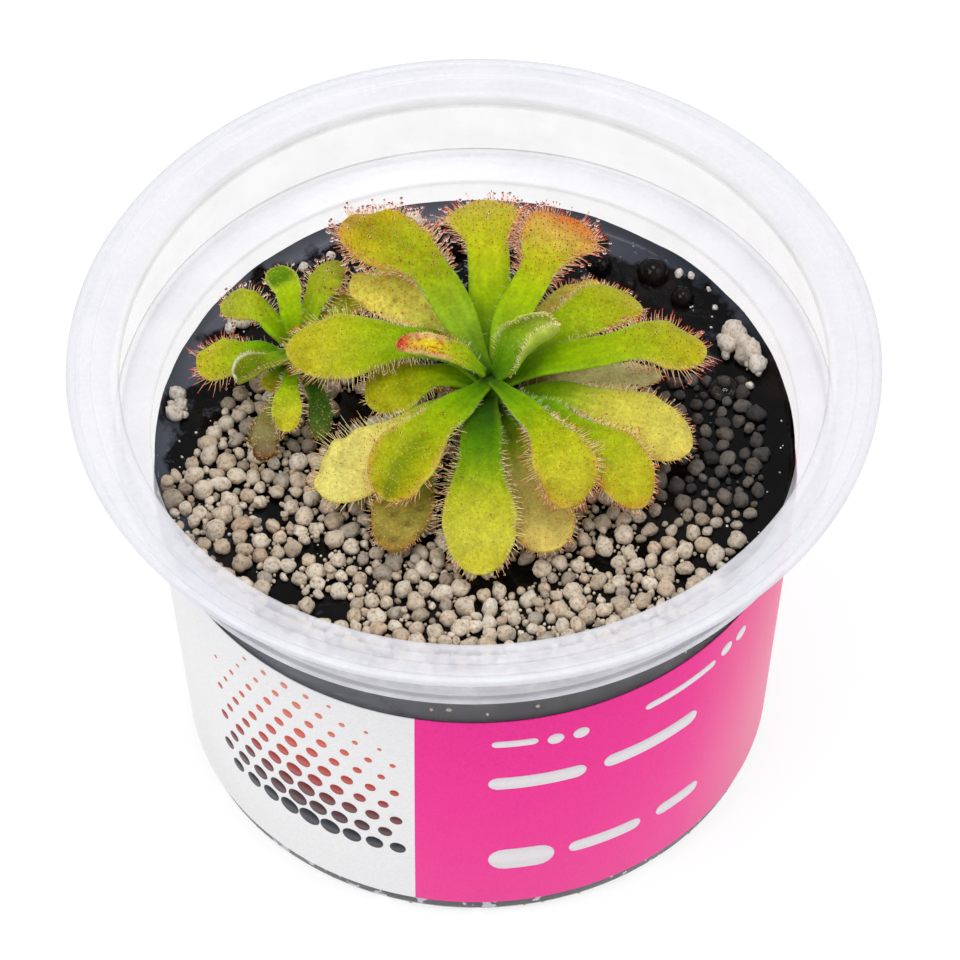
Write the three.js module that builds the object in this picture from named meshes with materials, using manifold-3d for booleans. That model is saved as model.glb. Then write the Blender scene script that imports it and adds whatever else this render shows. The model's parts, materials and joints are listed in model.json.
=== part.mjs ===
// Potted sundew: a rosette with a side plantlet, rooted in dark gel in a stepped
// thin-walled cup with a printed band round it. Millimetres, +Z up, origin at the
// centre of the cup's resting ring.
import * as THREE from 'three';
import Module from 'manifold-3d';
import { mergeVertices } from 'three/addons/utils/BufferGeometryUtils.js';

const wasm = await Module();
wasm.setup();

// ---------------------------------------------------------------- dimensions
const SEGMENTS = 48;            // facets round the cup, the band and the gel
const GAP = 0.3;                // clearance kept between neighbouring pieces

const CUP_HEIGHT = 63;
const RIM_RADIUS = 50;
const WALL = 0.65;              // moulded wall thickness
const BASE_RADIUS = 35.3;       // outside of the wall just above the bottom corner
const BASE_CORNER = 1.3;        // height of the bottom corner
const NECK_RADIUS = 40.3;       // outside of the wall under the ledge
const NECK_HEIGHT = 52;
const STEP_RADIUS = 44;         // outside of the upper, wider part
const STEP_HEIGHT = 53.2;
const FLOOR_HEIGHT = 1.4;       // inside bottom of the cup
const FOOT_INNER = 30.4;        // inner edge of the ring that the cup stands on
const FOOT_RECESS = 0.6;

const GEL_HEIGHT = 46.5;
const BAND_BOTTOM = 3;
const BAND_TOP = 42.5;
const BAND_THICKNESS = 0.35;

// The two stems: the rosette's own and that of the plantlet beside it.
const ROSETTE_STEM = { centre: new THREE.Vector3(2, 3.5, 0), radius: 2.2, foot: 40, top: 58 };
const OFFSET_STEM = { centre: new THREE.Vector3(-22, 11.5, 0), radius: 1.3, foot: 42.5, top: 54.4 };

const BLADE_THICKNESS = 0.7;
const TENTACLE_BASE = 0.5;      // width of a tentacle's root along the leaf margin
const TENTACLE_CLEARANCE = 1;   // room that a tentacle leaves to another leaf or the wall
const TENTACLE_REACH = 2.4;     // longest tentacle on a margin

const GRANULE_SEED = 11;
const TENTACLE_SEED = 29;

// ----------------------------------------------------------------- materials
function finish(color, roughness, metalness = 0) {
  return new THREE.MeshStandardMaterial({ color, roughness, metalness });
}

const COLOURS = {
  green: 0x7da51a,
  lime: 0xa8b52e,
  pale: 0xd6d27a,
  old: 0x7a6a30,
};

// -------------------------------------------------------------------- random
// A small seeded generator, so that every build gives the same granules.
function randomSource(seed) {
  let state = seed;
  return () => {
    state = (state * 1664525 + 1013904223) % 4294967296;
    return state / 4294967296;
  };
}

// -------------------------------------------------------------------- solids
// Merges shared corners, drops collapsed triangles and turns the faces outward.
function closedSolid(geometry) {
  const bare = geometry.index ? geometry.toNonIndexed() : geometry.clone();
  bare.deleteAttribute('normal');
  bare.deleteAttribute('uv');
  const merged = mergeVertices(bare, 1e-4);
  const position = merged.getAttribute('position');
  const corners = merged.getIndex().array;
  const kept = [];
  let volume = 0;
  const a = new THREE.Vector3();
  const b = new THREE.Vector3();
  const c = new THREE.Vector3();
  for (let i = 0; i < corners.length; i += 3) {
    const [p, q, r] = [corners[i], corners[i + 1], corners[i + 2]];
    if (p === q || q === r || r === p) continue;
    kept.push(p, q, r);
    a.fromBufferAttribute(position, p);
    b.fromBufferAttribute(position, q);
    c.fromBufferAttribute(position, r);
    volume += a.dot(b.cross(c));
  }
  if (volume < 0) kept.reverse();
  merged.setIndex(kept);
  return merged;
}

function toManifold(geometry) {
  const solid = closedSolid(geometry);
  return new wasm.Manifold(new wasm.Mesh({
    numProp: 3,
    vertProperties: new Float32Array(solid.getAttribute('position').array),
    triVerts: new Uint32Array(solid.getIndex().array),
  }));
}

function fromManifold(manifold) {
  const mesh = manifold.getMesh();
  const geometry = new THREE.BufferGeometry();
  geometry.setAttribute('position', new THREE.BufferAttribute(mesh.vertProperties, 3));
  geometry.setIndex(new THREE.BufferAttribute(mesh.triVerts, 1));
  return geometry;
}

// Turns a profile of [radius, height] points about the Z axis.
function lathe(profile, segments = SEGMENTS) {
  const points = profile.map(([radius, height]) => new THREE.Vector2(radius, height));
  const geometry = new THREE.LatheGeometry(points, segments);
  geometry.rotateX(Math.PI / 2);
  return geometry;
}

function smoothstep(low, high, value) {
  const t = Math.min(1, Math.max(0, (value - low) / (high - low)));
  return t * t * (3 - 2 * t);
}

// Collects triangles and turns them into one closed geometry.
class Skin {
  constructor() {
    this.values = [];
  }

  triangle(a, b, c) {
    this.values.push(...a.toArray(), ...b.toArray(), ...c.toArray());
  }

  quad(a, b, c, d) {
    this.triangle(a, b, c);
    this.triangle(a, c, d);
  }

  // A quad drawn out to a point: the root of a tentacle.
  spike(a, b, c, d, tip) {
    this.triangle(a, b, tip);
    this.triangle(b, c, tip);
    this.triangle(c, d, tip);
    this.triangle(d, a, tip);
  }

  // A triangle with a slender three-sided tentacle standing on its middle.
  stud(a, b, c, tip) {
    const middle = a.clone().add(b).add(c).divideScalar(3);
    const size = Math.max(a.distanceTo(b), b.distanceTo(c), c.distanceTo(a));
    const share = Math.min(0.5, (TENTACLE_BASE * 1.4) / size);
    const [p, q, r] = [a, b, c].map((corner) => middle.clone().lerp(corner, share));
    this.quad(a, b, q, p);
    this.quad(b, c, r, q);
    this.quad(c, a, p, r);
    this.triangle(p, q, tip);
    this.triangle(q, r, tip);
    this.triangle(r, p, tip);
  }

  geometry() {
    const geometry = new THREE.BufferGeometry();
    geometry.setAttribute('position', new THREE.Float32BufferAttribute(this.values, 3));
    return closedSolid(geometry);
  }
}

// ----------------------------------------------------------------------- cup
// Outside radius of the tapered lower wall.
function wallRadius(height) {
  const taper = (NECK_RADIUS - BASE_RADIUS) / (NECK_HEIGHT - BASE_CORNER);
  return BASE_RADIUS + taper * (height - BASE_CORNER);
}

// One moulded shell: foot ring, tapered wall, ledge, wider step and flat rim
// with a short lip turned down.
function cupGeometry() {
  const lip = 1.6;
  const crease = 46.2;
  const bottom = FLOOR_HEIGHT;
  return lathe([
    [0, FOOT_RECESS],
    [FOOT_INNER, FOOT_RECESS],
    [FOOT_INNER + 0.6, 0],
    [BASE_RADIUS - 1.4, 0],
    [BASE_RADIUS - 0.4, 0.4],
    [BASE_RADIUS, BASE_CORNER],
    [NECK_RADIUS, NECK_HEIGHT],
    [STEP_RADIUS - 0.5, STEP_HEIGHT - 0.6],
    [STEP_RADIUS, STEP_HEIGHT],
    [STEP_RADIUS + 0.4, CUP_HEIGHT - 1.6],
    [STEP_RADIUS + 1.2, CUP_HEIGHT - 0.8],
    [RIM_RADIUS - 0.8, CUP_HEIGHT - 0.8],
    [RIM_RADIUS - 0.8, CUP_HEIGHT - lip],
    [RIM_RADIUS, CUP_HEIGHT - lip],
    [RIM_RADIUS, CUP_HEIGHT - 0.6],
    [RIM_RADIUS - 0.6, CUP_HEIGHT],
    [crease, CUP_HEIGHT],
    [STEP_RADIUS, CUP_HEIGHT - 0.3],
    [STEP_RADIUS + 0.4 - WALL, CUP_HEIGHT - 1.2],
    [STEP_RADIUS - WALL, STEP_HEIGHT + 0.8],
    [STEP_RADIUS - WALL - 0.6, STEP_HEIGHT + 0.2],
    [NECK_RADIUS - WALL, NECK_HEIGHT + 0.5],
    [wallRadius(bottom + 0.8) - WALL, bottom + 0.8],
    [wallRadius(bottom) - WALL - 1, bottom],
    [0, bottom],
  ]);
}

// Printed band round the lower wall.
function bandGeometry() {
  const inner = (height) => wallRadius(height) + GAP;
  return lathe([
    [inner(BAND_BOTTOM), BAND_BOTTOM],
    [inner(BAND_BOTTOM) + BAND_THICKNESS, BAND_BOTTOM],
    [inner(BAND_TOP) + BAND_THICKNESS, BAND_TOP],
    [inner(BAND_TOP), BAND_TOP],
    [inner(BAND_BOTTOM), BAND_BOTTOM],
  ]);
}

// ----------------------------------------------------------------------- gel
// Domed bubbles that stand half out of the gel: [x, y, radius].
const GEL_BUBBLES = [
  [22.2, 28.4, 2.0],
  [25.8, 24.4, 1.5],
  [15.6, 29.8, 1.6],
];

function stemHole({ centre, radius, foot }) {
  const hole = lathe([
    [0, foot - GAP],
    [radius + GAP, foot - GAP],
    [radius + GAP, GEL_HEIGHT + 3],
    [0, GEL_HEIGHT + 3],
  ], 16);
  hole.translate(centre.x, centre.y, 0);
  return hole;
}

// The nutrient gel fills the cup to just under the ledge. The two stems stand
// in plain round holes in it.
function gelGeometry() {
  const bottom = FLOOR_HEIGHT + GAP;
  const edge = (height) => wallRadius(height) - WALL - GAP;
  let gel = toManifold(lathe([
    [0, bottom],
    [edge(bottom) - 1.3, bottom],
    [edge(bottom + 1.2), bottom + 1.2],
    [edge(GEL_HEIGHT), GEL_HEIGHT],
    [0, GEL_HEIGHT],
  ]));
  for (const [x, y, radius] of GEL_BUBBLES) {
    const bubble = new THREE.IcosahedronGeometry(radius, 1);
    bubble.translate(x, y, GEL_HEIGHT);
    gel = gel.add(toManifold(bubble));
  }
  gel = gel.subtract(toManifold(stemHole(ROSETTE_STEM)));
  gel = gel.subtract(toManifold(stemHole(OFFSET_STEM)));
  return fromManifold(gel);
}

// ------------------------------------------------------------------ granules
const BED_BOTTOM = GEL_HEIGHT + GAP;
const BED_TOP = BED_BOTTOM + 0.4;      // level of the hollows between granules
const BED_RADIUS = 38.6;
const GRANULE_PITCH = 3.9;
const GRANULE_HEIGHT = 2;              // no granule stands higher than this above the hollows

// The back edge of the bed, from the left wall to the right wall.
const BED_BACK = [
  [-37.6, -6], [-33.5, 1.5], [-31, 7], [-26, 14.3], [-18, 13.5],
  [-6, 9.5], [8, 9.5], [20, 11.5], [30, 11.5], [36.5, 11],
];

function insideBed(x, y, margin) {
  if (Math.hypot(x, y) > BED_RADIUS - margin) return false;
  for (let i = 0; i + 1 < BED_BACK.length; i += 1) {
    const [x0, y0] = BED_BACK[i];
    const [x1, y1] = BED_BACK[i + 1];
    if (x >= x0 && x < x1) return y < y0 + ((y1 - y0) * (x - x0)) / (x1 - x0);
  }
  return y < 0;
}

// Corners of a honeycomb cell, counter-clockwise, in half pitches across and in
// pitch / (2 * sqrt 3) steps up, and the neighbour cell beyond each edge.
const CELL_CORNERS = [[1, 1], [0, 2], [-1, 1], [-1, -1], [0, -2], [1, -1]];
const CELL_NEIGHBOURS = [[0, 1], [-1, 1], [-1, 0], [0, -1], [1, -1], [1, 0]];

// Loose granules cover the front of the gel: one body, a pavement of rough
// flat-topped lumps on an uneven honeycomb, with a plain hole for each stem.
function bedGeometry() {
  const random = randomSource(GRANULE_SEED);
  const across = GRANULE_PITCH / 2;
  const up = GRANULE_PITCH / (2 * Math.sqrt(3));
  const shift = () => (random() - 0.5) * GRANULE_PITCH * 0.24;
  const corners = new Map();
  const cornerAt = (column, row) => {
    const key = `${column},${row}`;
    if (!corners.has(key)) {
      corners.set(key, new THREE.Vector3(column * across + shift(), row * up + shift(), BED_TOP));
    }
    return corners.get(key);
  };

  const cells = new Map();
  const count = Math.ceil((2 * BED_RADIUS) / GRANULE_PITCH);
  for (let j = -count; j <= count; j += 1) {
    for (let i = -count; i <= count; i += 1) {
      const [column, row] = [2 * i + j, 3 * j];
      if (insideBed(column * across, row * up, GRANULE_PITCH * 0.72)) {
        cells.set(`${i},${j}`, { i, j, column, row });
      }
    }
  }

  const skin = new Skin();
  const following = new Map();
  const down = (corner) => corner.clone().setZ(BED_BOTTOM);
  for (const { i, j, column, row } of cells.values()) {
    const ring = CELL_CORNERS.map(([x, y]) => cornerAt(column + x, row + y));
    const centre = ring.reduce((sum, corner) => sum.add(corner), new THREE.Vector3()).divideScalar(6);
    const height = 0.75 + 0.6 * random();
    const crown = ring.map((corner) => {
      const point = corner.clone().lerp(centre, 0.3 + 0.16 * random());
      return point.setZ(BED_TOP + height * (0.8 + 0.35 * random()));
    });
    for (let k = 0; k < 6; k += 1) {
      const next = (k + 1) % 6;
      skin.quad(ring[k], ring[next], crown[next], crown[k]);
      const [di, dj] = CELL_NEIGHBOURS[k];
      if (!cells.has(`${i + di},${j + dj}`)) {
        skin.quad(down(ring[k]), down(ring[next]), ring[next], ring[k]);
        following.set(ring[k], ring[next]);
      }
    }
    for (let k = 1; k < 5; k += 1) skin.triangle(crown[0], crown[k], crown[k + 1]);
  }

  // The flat underside, from the outline's corners in order.
  const outline = [];
  let corner = following.keys().next().value;
  while (!outline.includes(corner)) {
    outline.push(corner);
    corner = following.get(corner);
  }
  const flat = outline.map((point) => new THREE.Vector2(point.x, point.y));
  for (const [p, q, r] of THREE.ShapeUtils.triangulateShape(flat, [])) {
    skin.triangle(down(outline[p]), down(outline[r]), down(outline[q]));
  }

  let bed = toManifold(skin.geometry());
  bed = bed.subtract(toManifold(stemHole(ROSETTE_STEM)));
  bed = bed.subtract(toManifold(stemHole(OFFSET_STEM)));
  return fromManifold(largestBody(bed));
}

// A fused solid may leave a loose scrap, which is dropped.
function largestBody(manifold) {
  const bodies = manifold.decompose();
  bodies.sort((a, b) => b.volume() - a.volume());
  return bodies[0];
}

// A few granules stuck together on the bare gel: [x, y, radius] each.
function clumpGeometry(lumps, seed) {
  const random = randomSource(seed);
  const solids = lumps.map(([x, y, radius]) => {
    const lump = new THREE.IcosahedronGeometry(radius, 0);
    lump.rotateZ(random() * Math.PI);
    lump.scale(1, 1, 0.8);
    lump.translate(x, y, GEL_HEIGHT + GAP + radius * 0.72);
    return toManifold(lump);
  });
  return fromManifold(largestBody(wasm.Manifold.union(solids)));
}

const LEFT_CLUMP = [[-36.3, 9.6, 1.3], [-35.6, 7.9, 1.2], [-36.4, 6.4, 1.3]];
const RIGHT_CLUMP = [
  [32, 18.2, 1.4], [31.2, 16.4, 1.2], [33.2, 16.4, 1.3], [33.8, 14.6, 1.5], [34.8, 13, 1.3],
];

// --------------------------------------------------------------------- stems
function stemProfile(radius, foot, top) {
  return [
    [0, foot],
    [radius * 0.45, foot + 0.4],
    [radius, foot + 3],
    [radius, top - 3],
    [radius * 0.78, top - 1.2],
    [radius * 0.4, top - 0.25],
    [0, top],
  ];
}

function stemGeometry({ centre, radius, foot, top }) {
  const stem = lathe(stemProfile(radius, foot, top), 12);
  stem.translate(centre.x, centre.y, 0);
  return stem;
}

function stemRadiusAt({ radius, foot, top }, height) {
  const profile = stemProfile(radius, foot, top);
  const above = profile.findIndex(([, level]) => level > height);
  const [r0, z0] = profile[above - 1];
  const [r1, z1] = profile[above];
  return r0 + ((r1 - r0) * (height - z0)) / (z1 - z0);
}

// -------------------------------------------------------------------- leaves
// A leaf starts at height `attach` on its stem and follows `path`, whose last
// point is the tip. `petiole` and `blade` are widths. `curl` is the angle that
// each margin bends through, up when positive and down when negative. `flare`,
// where given, is how far along the petiole begins to widen.
function leaf(name, colour, attach, path, shape) {
  return { name, colour, attach, path, ...shape };
}

const ROSETTE_LEAVES = [
  leaf('leaf_front', 'lime', 54.6,
    [[1, -4, 56.5], [0.5, -11.5, 56], [0.5, -18, 53.2], [0.5, -22.5, 50.3]],
    { petiole: 5.2, blade: 9.4, curl: -0.45 }),
  leaf('leaf_front_under', 'old', 50,
    [[0, 1, 50.6], [-1, -7, 50.6], [-1.5, -14.5, 50.3]],
    { petiole: 3.6, blade: 5, curl: -0.2 }),
  leaf('leaf_front_left', 'lime', 56.4,
    [[-2.5, -2, 57.6], [-6, -6.5, 58], [-9, -10.5, 57], [-11, -13.5, 54]],
    { petiole: 4.8, blade: 8.8, curl: 0.35 }),
  leaf('leaf_front_left_pale', 'pale', 53.8,
    [[-4, 0.5, 54.4], [-9, -3, 54.6], [-14.5, -7, 53.6], [-19, -10, 51]],
    { petiole: 4.2, blade: 9, curl: -0.35 }),
  leaf('leaf_front_left_old', 'old', 52,
    [[-3.5, -0.5, 52.2], [-7.5, -8, 51.8], [-9.5, -14.5, 51], [-10.5, -18.5, 50.3]],
    { petiole: 3.6, blade: 7.5, curl: -0.2 }),
  leaf('leaf_left', 'lime', 55.4,
    [[-3.5, 8, 57.2], [-9.5, 7.5, 59.2], [-17, 7, 59.6], [-23, 7.5, 57.5]],
    { petiole: 3.8, blade: 7.4, curl: -0.6 }),
  leaf('leaf_left_young', 'lime', 57.6,
    [[-1.5, 4, 60.4], [-5.5, 4, 62], [-9.5, 4.5, 62]],
    { petiole: 3, blade: 3.6, curl: 0.9 }),
  leaf('leaf_back_left', 'lime', 56.7,
    [[-1.5, 9.5, 60.5], [-5, 16, 62.3], [-10, 21.5, 62.3], [-15.5, 26, 60.5]],
    { petiole: 4.6, blade: 8, curl: -0.4 }),
  leaf('leaf_back_left_pale', 'pale', 52.6,
    [[-2.5, 11, 55], [-7, 15, 56.6], [-10.5, 17.5, 57], [-15, 20, 56]],
    { petiole: 3.6, blade: 6.5, curl: -0.3 }),
  leaf('leaf_back', 'green', 54.2,
    [[2, 12, 58.2], [2, 18, 61.5], [1.5, 24, 62.2], [1, 29, 60]],
    { petiole: 5, blade: 9.2, curl: -0.35, flare: 0.66 }),
  leaf('leaf_back_right', 'green', 55.8,
    [[4.5, 10, 60], [7.5, 15, 62.4], [10, 21, 62.4], [12.5, 25, 61]],
    { petiole: 4.4, blade: 8.6, curl: -0.35, flare: 0.52 }),
  leaf('leaf_right_back', 'green', 53.2,
    [[7.5, 9.5, 56.5], [12.5, 11.5, 58.3], [17, 15, 57.6], [20.5, 16.5, 54.5]],
    { petiole: 4, blade: 6.5, curl: -0.4 }),
  leaf('leaf_right_back_pale', 'pale', 51.8,
    [[7, 12, 53.4], [11, 17.5, 53.6], [15.5, 22, 52.6]],
    { petiole: 3.2, blade: 5, curl: -0.2 }),
  leaf('leaf_right', 'green', 54.9,
    [[8.5, 5, 58], [15.5, 5.5, 59.6], [22, 7.5, 59.2], [28.5, 8, 56]],
    { petiole: 4.4, blade: 6.6, curl: -0.5 }),
  leaf('leaf_right_old', 'old', 51,
    [[9.5, 7, 51.6], [16, 8, 51.4], [23, 9, 50.6]],
    { petiole: 3.2, blade: 4.4, curl: -0.2 }),
  leaf('leaf_right_low', 'pale', 52.4,
    [[9.5, 3.5, 53.8], [16, 1, 54.4], [22, -1.5, 53.2], [26.5, -3.5, 51]],
    { petiole: 4, blade: 9, curl: -0.4 }),
  leaf('leaf_front_right_low', 'lime', 53.9,
    [[8, -0.5, 55.6], [13.5, -6, 56.8], [18, -9.5, 55.8], [20.5, -13.5, 52]],
    { petiole: 4, blade: 8.2, curl: -0.4 }),
  leaf('leaf_front_right', 'lime', 56.8,
    [[6.5, -3, 58.2], [9.5, -8.5, 59.4], [11.5, -13, 58.2], [10.5, -15.5, 54.6]],
    { petiole: 3.8, blade: 8, curl: -0.5 }),
  leaf('leaf_front_right_pale', 'pale', 52.6,
    [[4.5, -3, 53.2], [5.5, -8.5, 52.4], [8, -14, 51.2], [9, -19, 50.4]],
    { petiole: 3.8, blade: 8.2, curl: -0.25 }),
  leaf('leaf_left_round', 'green', 54,
    [[-3, 6, 54.4], [-7, 5, 55], [-11, 3.5, 54.6], [-13, 2.5, 53]],
    { petiole: 3.2, blade: 7.2, curl: -0.4 }),
  leaf('leaf_left_hook', 'old', 51.4,
    [[-2.5, 6.5, 51.8], [-5, 6.5, 52], [-7, 7, 53]],
    { petiole: 1.8, blade: 2.6, curl: 0.6 }),
];

const OFFSET_LEAVES = [
  leaf('offset_leaf_back_left', 'green', 52.6,
    [[-26, 16, 55], [-28.5, 17, 55.6], [-31, 17.5, 54]],
    { petiole: 2.4, blade: 3.8, curl: -0.4 }),
  leaf('offset_leaf_back', 'lime', 53.8,
    [[-22.5, 15.5, 56.8], [-23, 17.5, 58.3], [-25, 20, 58]],
    { petiole: 2.6, blade: 3.4, curl: -0.3 }),
  leaf('offset_leaf_back_right', 'green', 52.6,
    [[-20.5, 15.5, 54], [-18.5, 20, 55.3], [-16.5, 24, 54.8]],
    { petiole: 2.2, blade: 3.2, curl: -0.3 }),
  leaf('offset_leaf_right', 'green', 51.6,
    [[-19, 15.5, 52.6], [-15.5, 19, 53.2], [-12.5, 21, 52.4]],
    { petiole: 2, blade: 3.2, curl: -0.3 }),
  leaf('offset_leaf_left', 'lime', 52,
    [[-26, 10.5, 54], [-29.5, 10, 54], [-34, 11, 51.8]],
    { petiole: 2.8, blade: 4.8, curl: -0.4 }),
  leaf('offset_leaf_cupped', 'green', 53.6,
    [[-24.5, 7.5, 55.8], [-27, 6, 56.4], [-29, 3.5, 56.8]],
    { petiole: 2.2, blade: 3.2, curl: 0.7 }),
  leaf('offset_leaf_small', 'lime', 50.8,
    [[-24, 8.5, 51.8], [-25.5, 6.5, 51.4]],
    { petiole: 1.6, blade: 3, curl: -0.3 }),
  leaf('offset_leaf_front', 'lime', 52.4,
    [[-22.5, 6, 53.8], [-23, 2.5, 53.2], [-23, -0.5, 51.6]],
    { petiole: 1.8, blade: 3.3, curl: -0.3 }),
  leaf('offset_leaf_old', 'old', 49.9,
    [[-24, 5.5, 50.2], [-25.5, 0.5, 50.4], [-26, -4, 50.3]],
    { petiole: 2.4, blade: 4.2, curl: -0.2 }),
  leaf('offset_leaf_front_right', 'green', 51,
    [[-20.5, 8.5, 52], [-19, 4, 51.4], [-19, -1, 50.6]],
    { petiole: 2.2, blade: 3, curl: -0.2 }),
];

// Stations along a leaf, as parts of its length, and columns across it.
const ROSETTE_GRID = {
  stations: [0, 0.2, 0.42, 0.56, 0.68, 0.79, 0.88, 0.95, 0.99],
  columns: [-1, -0.5, 0, 0.5, 1],
};
const OFFSET_GRID = {
  stations: [0, 0.25, 0.45, 0.62, 0.78, 0.91, 0.98],
  columns: [-1, 0, 1],
};
const BLADE_START = 0.42;       // where most petioles begin to widen
const BLADE_ROUND = 0.55;       // share of the blade that lies before its widest place

// Width of a leaf at a part s of its length: a strap that swells into a blade
// with a round end.
function widthAt(row, s) {
  const start = row.flare ?? BLADE_START;
  const widest = start + (1 - start) * BLADE_ROUND;
  const strap = row.petiole * (0.6 + 0.4 * smoothstep(0, 0.3, s));
  const full = strap + (row.blade - strap) * smoothstep(start, widest, s);
  if (s <= widest) return full;
  const past = (s - widest) / (1 - widest);
  return full * Math.sqrt(Math.max(0, 1 - past * past));
}

// The midrib of a leaf: it leaves the stem's side square and passes its points.
function midrib(row, stem) {
  const [x, y] = row.path[0];
  const away = new THREE.Vector3(x, y, 0).sub(stem.centre).normalize();
  const start = away.multiplyScalar(stemRadiusAt(stem, row.attach) + GAP);
  start.add(stem.centre).setZ(row.attach);
  const points = row.path.map((point) => new THREE.Vector3(...point));
  return new THREE.CatmullRomCurve3([start, ...points]);
}

// Both faces of a leaf, as rows of points: one row a station, one point a column.
function leafFaces(row, grid, stem) {
  const curve = midrib(row, stem);
  const faces = { row, grid, top: [], bottom: [], sides: [], tangents: [], normals: [] };
  let side = null;
  for (const s of grid.stations) {
    const centre = curve.getPointAt(s);
    const tangent = curve.getTangentAt(s);
    side = side ?? new THREE.Vector3().crossVectors(tangent, new THREE.Vector3(0, 0, 1));
    side = side.addScaledVector(tangent, -side.dot(tangent)).normalize().clone();
    const normal = new THREE.Vector3().crossVectors(side, tangent);
    const curl = row.curl * smoothstep(0.1, 0.75, s) || 0.001;
    const upper = [];
    const lower = [];
    for (const column of grid.columns) {
      const angle = column * curl;
      const bend = widthAt(row, s) / 2 / curl;
      const point = centre.clone().addScaledVector(side, bend * Math.sin(angle));
      point.addScaledVector(normal, bend * (1 - Math.cos(angle)));
      if (s === grid.stations[grid.stations.length - 1]) {
        point.addScaledVector(tangent, row.blade * 0.06 * (1 - column * column));
      }
      const out = normal.clone().multiplyScalar(Math.cos(angle));
      out.addScaledVector(side, -Math.sin(angle));
      upper.push(point.clone().addScaledVector(out, BLADE_THICKNESS / 2));
      lower.push(point.clone().addScaledVector(out, -BLADE_THICKNESS / 2));
    }
    faces.top.push(upper);
    faces.bottom.push(lower);
    faces.sides.push(side);
    faces.tangents.push(tangent);
    faces.normals.push(normal);
  }
  return faces;
}

// Points all over a leaf, for keeping tentacles clear of it.
function samplePoints(faces) {
  const points = [];
  const last = faces.grid.columns.length - 1;
  for (let i = 0; i + 1 < faces.top.length; i += 1) {
    for (let j = 0; j < last; j += 1) {
      for (const along of [0, 0.33, 0.67]) {
        const near = faces.top[i][j].clone().lerp(faces.top[i + 1][j], along);
        const far = faces.top[i][j + 1].clone().lerp(faces.top[i + 1][j + 1], along);
        points.push(near, near.clone().lerp(far, 0.5), far);
      }
    }
  }
  return points;
}

// True where a tentacle from root to tip stays clear of everything in `others`,
// of the cup's wall and of the granules.
function isClear(root, tip, others) {
  for (const part of [0.35, 0.7, 1]) {
    const point = root.clone().lerp(tip, part);
    const wall = wallRadius(Math.min(point.z, NECK_HEIGHT)) - WALL;
    if (Math.hypot(point.x, point.y) > wall - TENTACLE_CLEARANCE) return false;
    if (point.z < BED_TOP + GRANULE_HEIGHT) return false;
    if (others.some((other) => other.distanceTo(point) < TENTACLE_CLEARANCE)) return false;
  }
  return true;
}

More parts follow.
